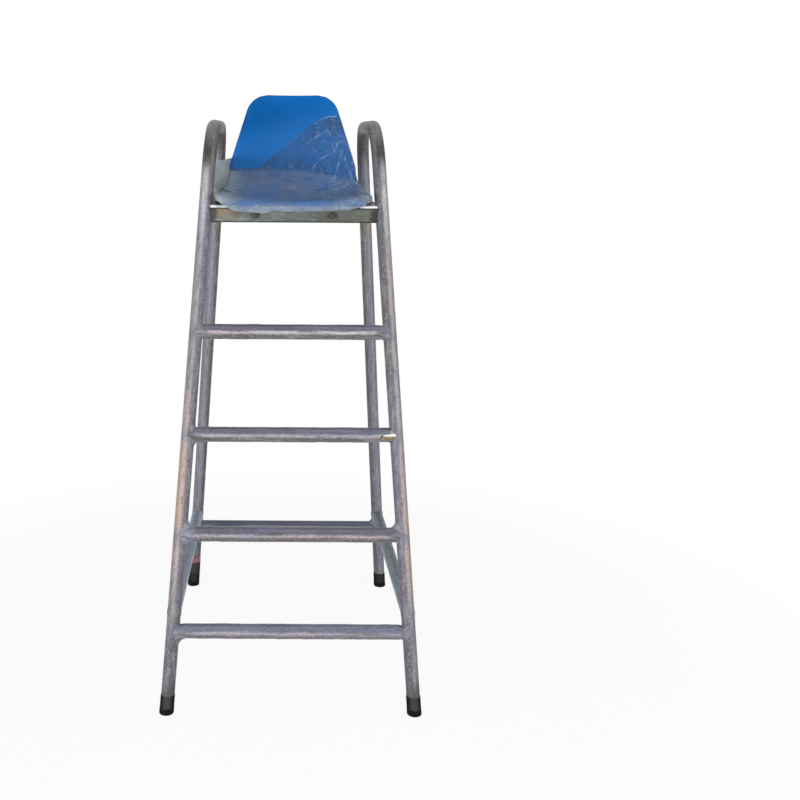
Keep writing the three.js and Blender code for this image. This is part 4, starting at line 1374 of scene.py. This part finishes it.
def film_edge(t):
    """The film's upper edge on the back, a curve from left to right."""
    return FILM_LEFT * (1 - t) ** 2 + FILM_SHOULDER * 2 * t * (1 - t) + FILM_RIGHT * t * t


def film_top(x):
    """Height of the film's upper edge."""
    if x <= FILM_LEFT.x:
        return FILM_LEFT.y
    return film_edge(solve(0.0, 1.0, lambda t: film_edge(t).x < x)).y


def ridge(distance, width):
    """One on a line, and falling away to both sides of it."""
    return math.exp(-(distance / width) ** 2)


class CHAIR_OT_seat_film(bpy.types.Operator):
    """Stretch film over the pan and up the right of the back"""

    bl_idname = "chair.seat_film"
    bl_label = "Film on the seat"

    def execute(self, context):
        seat, packing = context.scene.chair_seat, context.scene.chair_packing
        piece = grid("seat_film_sheet", 130, 170)
        sheet, creases, top_row = {}, {}, set()
        for vertex in piece.data.vertices:
            across, share = vertex.co.x, (vertex.co.y + 1) / 2
            s = shell_s_at(film_top(across * FILM_REACH)) * share
            x = across * half_width(s)
            point, normal = shell_point(x, s), shell_normal(x, s)
            sheet[vertex.index] = (point, normal, rim_centre(s))
            creases[vertex.index] = self.crease(x, s, point, share)
            lift = self.wrinkle(x, s, point) + CREASE_HEIGHT * creases[vertex.index]
            vertex.co = point + normal * (packing.lift + lift * (1 - abs(across) ** 8))
            if share > 0.999:
                top_row.add(vertex.index)
        places = rim_places(seat.rim, seat.skirt, packing.lift)
        for share in (0.5, 1.0):
            places.append((seat.rim + packing.lift, lambda point, share=share: (
                seat.rim + seat.skirt + self.hang(point) * share)))
        roll_rim(piece, sheet, places, lambda index: index not in top_row)
        layer = piece.data.attributes.new("crease", "FLOAT", "POINT")
        for index, size in creases.items():
            layer.data[index].value = size
        close_up(piece)
        modify(piece, "SOLIDIFY", thickness=FILM_SKIN, offset=0)
        dress(piece, seat_film_finish("seat_film", packing.haze), "film", "seat_film", smooth=70)
        return {"FINISHED"}

    def crease(self, x, s, point, share):
        """How near a point is to a crease, from 0 to 1, with the film's upper edge as one."""
        if s < TURN_START:
            return 0.0
        hem = ridge(1 - share, 0.005) * (0.55 + 0.45 * math.sin(x * 60 + 1.3))
        hem *= eased(0.35, 1.0, (x - 0.02) / 0.10)
        lines = max(ridge(off_line(x, point.z, line), 0.0020) for line in FILM_CREASES)
        lines *= 0.55 + 0.3 * math.sin(x * 90 + point.z * 140)
        return min(max(hem, lines), 1.0)

    def hang(self, point):
        """How far the film hangs under the skirt: further over the left of the front rail."""
        hang = FILM_HANG + 0.0012 * noise.noise(Vector((point.x * 30, point.y * 30, 4)))
        if point.y > -0.15:
            return hang
        low = eased(0.0, 1.0, (point.x + 0.185) / 0.03)
        return hang + 0.011 * low * eased(1.0, 0.0, (point.x + 0.085) / 0.035)

    def wrinkle(self, x, s, point):
        """Height of the small folds across the pan and of the film's crumples."""
        lift = 0.0
        if s < TURN_START:
            cross = point.y * 28 + 4 * noise.noise(Vector((x * 6, point.y * 5, 3)))
            lift += 0.0005 * (1 + math.sin(cross))
        rough = noise.noise(Vector((x * 18, s * 14, 5)))
        rough += 0.5 * noise.noise(Vector((x * 45, s * 40, 1)))
        return lift + 0.0006 * max(rough, 0.0)


def rim_point(s):
    """A point beside the shell's left rim."""
    rim = bpy.context.scene.chair_seat.rim
    x = -half_width(s)
    edge, normal = shell_point(x, s), shell_normal(x, s)
    ahead = shell_point(-half_width(s + 0.005), s + 0.005)
    outward = normal.cross(ahead - edge).normalized()
    return edge + outward * (rim + WING_CLEARANCE) - normal * rim


class CHAIR_OT_side_film(bpy.types.Operator):
    """Stretch film from the shell's left rim to the left front leg"""

    bl_idname = "chair.side_film"
    bl_label = "Film at the side"

    def execute(self, context):
        piece = grid("side_film_sheet", 48, 60)
        clear = context.scene.chair_tubes.diameter / 2 + LEG_CLEARANCE
        top = rim_point(WING_END).z
        for vertex in piece.data.vertices:
            column, row = (vertex.co.x + 1) / 2, (vertex.co.y + 1) / 2
            edge = rim_point(WING_START + (WING_END - WING_START) * row)
            axis = front_leg("left", WING_FOOT + (top - WING_FOOT) * row)
            way = (edge - axis).normalized()
            aside = way.cross(Vector((0, 0, 1))).normalized()
            slack = math.sin(math.pi * column)
            fold = math.sin(row * 14 + column * 4) * 0.0022
            fold += noise.noise(Vector((column * 4, row * 5, 2))) * 0.0035
            sag = Vector((0, 0, 0.004 * slack * row ** 3))
            vertex.co = (axis + way * clear).lerp(edge, column) + aside * fold * slack - sag
        close_up(piece)
        modify(piece, "SOLIDIFY", thickness=FILM_SKIN, offset=0)
        dress(piece, loose_film_finish("side_film"), "film", "side_film", smooth=70)
        return {"FINISHED"}


class CHAIR_OT_leg_tape(bpy.types.Operator):
    """Wrap dark film and a turn of red tape over the left rear foot cap"""

    bl_idname = "chair.leg_tape"
    bl_label = "Tape on one leg"

    def execute(self, context):
        tubes, packing = context.scene.chair_tubes, context.scene.chair_packing
        dark = cap_rubber("dark_wrap", tint(tubes.rubber, 1.0, (0.02, 0.02, 0.02)))
        red = tape_finish("red_tape", packing.tape)
        self.band("dark_wrap_band", 0.0515, 0.092, 0.0404, dark, "rubber")
        self.band("red_tape_band", 0.0925, 0.120, 0.0396, red, "film")
        return {"FINISHED"}

    def band(self, name, low, high, diameter, finish, slot):
        """A slightly uneven band round the leg, from a low to a high place on it."""
        begin, end = rear_leg("left", low), rear_leg("left", high)
        piece = straight_tube(name, begin, end, diameter, cuts=14)
        run, axis = (end - begin).length, (end - begin).normalized()
        for vertex in piece.data.vertices:
            along = (vertex.co - begin).dot(axis)
            centre = begin + axis * along
            off = vertex.co - centre
            if off.length < diameter / 4:
                continue
            angle = math.atan2(off.y, off.x)
            rough = noise.noise(Vector((math.cos(angle) * 2, math.sin(angle) * 2, along * 60)))
            edge = min(along, run - along)
            size = diameter / 2 + rough * 0.0004 - max(0.0, 0.002 - edge) * 0.25
            slip = 0.001 * math.sin(angle + along * 50) if 0 < along < run else 0
            vertex.co = centre + off.normalized() * size + axis * slip
        close_up(piece)
        dress(piece, finish, slot, smooth=50)


# Stage

CAMERA_PLACE = (-0.0594, -3.2592, 1.5924)
CAMERA_PITCH, CAMERA_ROLL = math.radians(76.31), 0.006
CAMERA_SHIFT, SENSOR = 0.161, 36.0

# Each lamp's setting, place, aim and size
LAMPS = (
    ("key", (-2.9, -4.0, 0.9), (0, 0, 0.95), (3.0, 1.8)),
    ("fill", (3.5, -3.0, 1.1), (0, 0, 0.95), (3.0, 1.8)),
    ("top", (0.2, -0.6, 4.2), (0, 0, 0.9), (2.4, 2.4)),
)


class CHAIR_OT_stage(bpy.types.Operator):
    """Set up the floor, lamps, room light and camera"""

    bl_idname = "chair.stage"
    bl_label = "Stage"

    def execute(self, context):
        stage = context.scene.chair_stage
        self.add_floor(stage)
        self.light_room(context, stage)
        for name, place, aim, size in LAMPS:
            self.add_lamp(f"{name}_lamp", place, aim, getattr(stage, name), size)
        start()
        bpy.ops.object.camera_add(location=CAMERA_PLACE, rotation=(CAMERA_PITCH, 0, 0))
        camera = context.active_object
        camera.name = "view_camera"
        camera.rotation_euler.rotate_axis("Z", CAMERA_ROLL)
        camera.data.lens = stage.lens
        camera.data.sensor_width = SENSOR
        camera.data.shift_x = CAMERA_SHIFT
        context.scene.camera = camera
        context.scene.view_settings.view_transform = "Standard"
        return {"FINISHED"}

    def add_floor(self, stage):
        """A floor that shows the camera white, with only the object's shadow on it."""
        start()
        bpy.ops.mesh.primitive_plane_add(size=60, location=(0, 0, 0))
        floor = added("floor")
        finish = Finish("floor_paint")
        finish.shade(base_color=(*stage.floor, 1.0), roughness=0.9)
        away = 0.92 + 0.08 * (finish.x * finish.x + finish.y * finish.y).step(1.0, 4.0)
        glow = finish.node("ShaderNodeEmission", None, {"Color": (1, 1, 1, 1), "Strength": 1.0})
        both = finish.node("ShaderNodeMixShader", None, {
            0: finish.seen() * away, 1: Level(finish, finish.shader.outputs[0]), 2: glow})
        finish.feed(finish.tree.nodes["Material Output"].inputs["Surface"], both)
        floor.data.materials.append(finish.material)

    def light_room(self, context, stage):
        """A room that is white to the camera and in reflections, and lights the object less."""
        world = bpy.data.worlds.new("room")
        context.scene.world = world
        world.use_nodes = True
        nodes = Nodes(world.node_tree)
        strength = nodes.node("ShaderNodeMapRange", None, {
            "Value": nodes.seen(), "To Min": stage.room, "To Max": 1.0})
        back = nodes.tree.nodes["Background"]
        nodes.feed(back.inputs["Color"], (1, 1, 1, 1))
        nodes.feed(back.inputs["Strength"], strength)

    def add_lamp(self, name, place, aim, power, size):
        start()
        direction = Vector(aim) - Vector(place)
        bpy.ops.object.light_add(
            type="AREA", location=place, rotation=direction.to_track_quat("-Z", "Y").to_euler())
        lamp = bpy.context.active_object
        lamp.name = name
        lamp.data.energy = power
        lamp.data.shape = "RECTANGLE"
        lamp.data.size, lamp.data.size_y = size


class CHAIR_PT_panel(bpy.types.Panel):
    """Lists the steps that build the chair."""

    bl_idname = "CHAIR_PT_panel"
    bl_label = "Lifeguard Chair"
    bl_space_type = "VIEW_3D"
    bl_region_type = "UI"
    bl_category = "Lifeguard Chair"

    def draw(self, context):
        for operator in OPERATORS:
            self.layout.operator(operator.bl_idname)


SETTINGS = {
    "chair_tubes": ChairTubeSettings,
    "chair_seat": ChairSeatSettings,
    "chair_packing": ChairPackingSettings,
    "chair_stage": ChairStageSettings,
}
OPERATORS = (
    CHAIR_OT_stage,
    CHAIR_OT_side_frames,
    CHAIR_OT_steps,
    CHAIR_OT_step_film,
    CHAIR_OT_braces,
    CHAIR_OT_joints,
    CHAIR_OT_foot_caps,
    CHAIR_OT_seat_frame,
    CHAIR_OT_fasteners,
    CHAIR_OT_seat_shell,
    CHAIR_OT_seat_film,
    CHAIR_OT_side_film,
    CHAIR_OT_leg_tape,
)


def register():
    for name, settings in SETTINGS.items():
        bpy.utils.register_class(settings)
        setattr(bpy.types.Scene, name, PointerProperty(type=settings))
    for operator in OPERATORS:
        bpy.utils.register_class(operator)
    bpy.utils.register_class(CHAIR_PT_panel)


def unregister():
    bpy.utils.unregister_class(CHAIR_PT_panel)
    for operator in reversed(OPERATORS):
        bpy.utils.unregister_class(operator)
    for name, settings in SETTINGS.items():
        delattr(bpy.types.Scene, name)
        bpy.utils.unregister_class(settings)


def main():
    """Builds everything in order."""
    register()
    for operator in OPERATORS:
        group, name = operator.bl_idname.split(".")
        getattr(getattr(bpy.ops, group), name)()
    start()


if __name__ == "__main__":
    main()
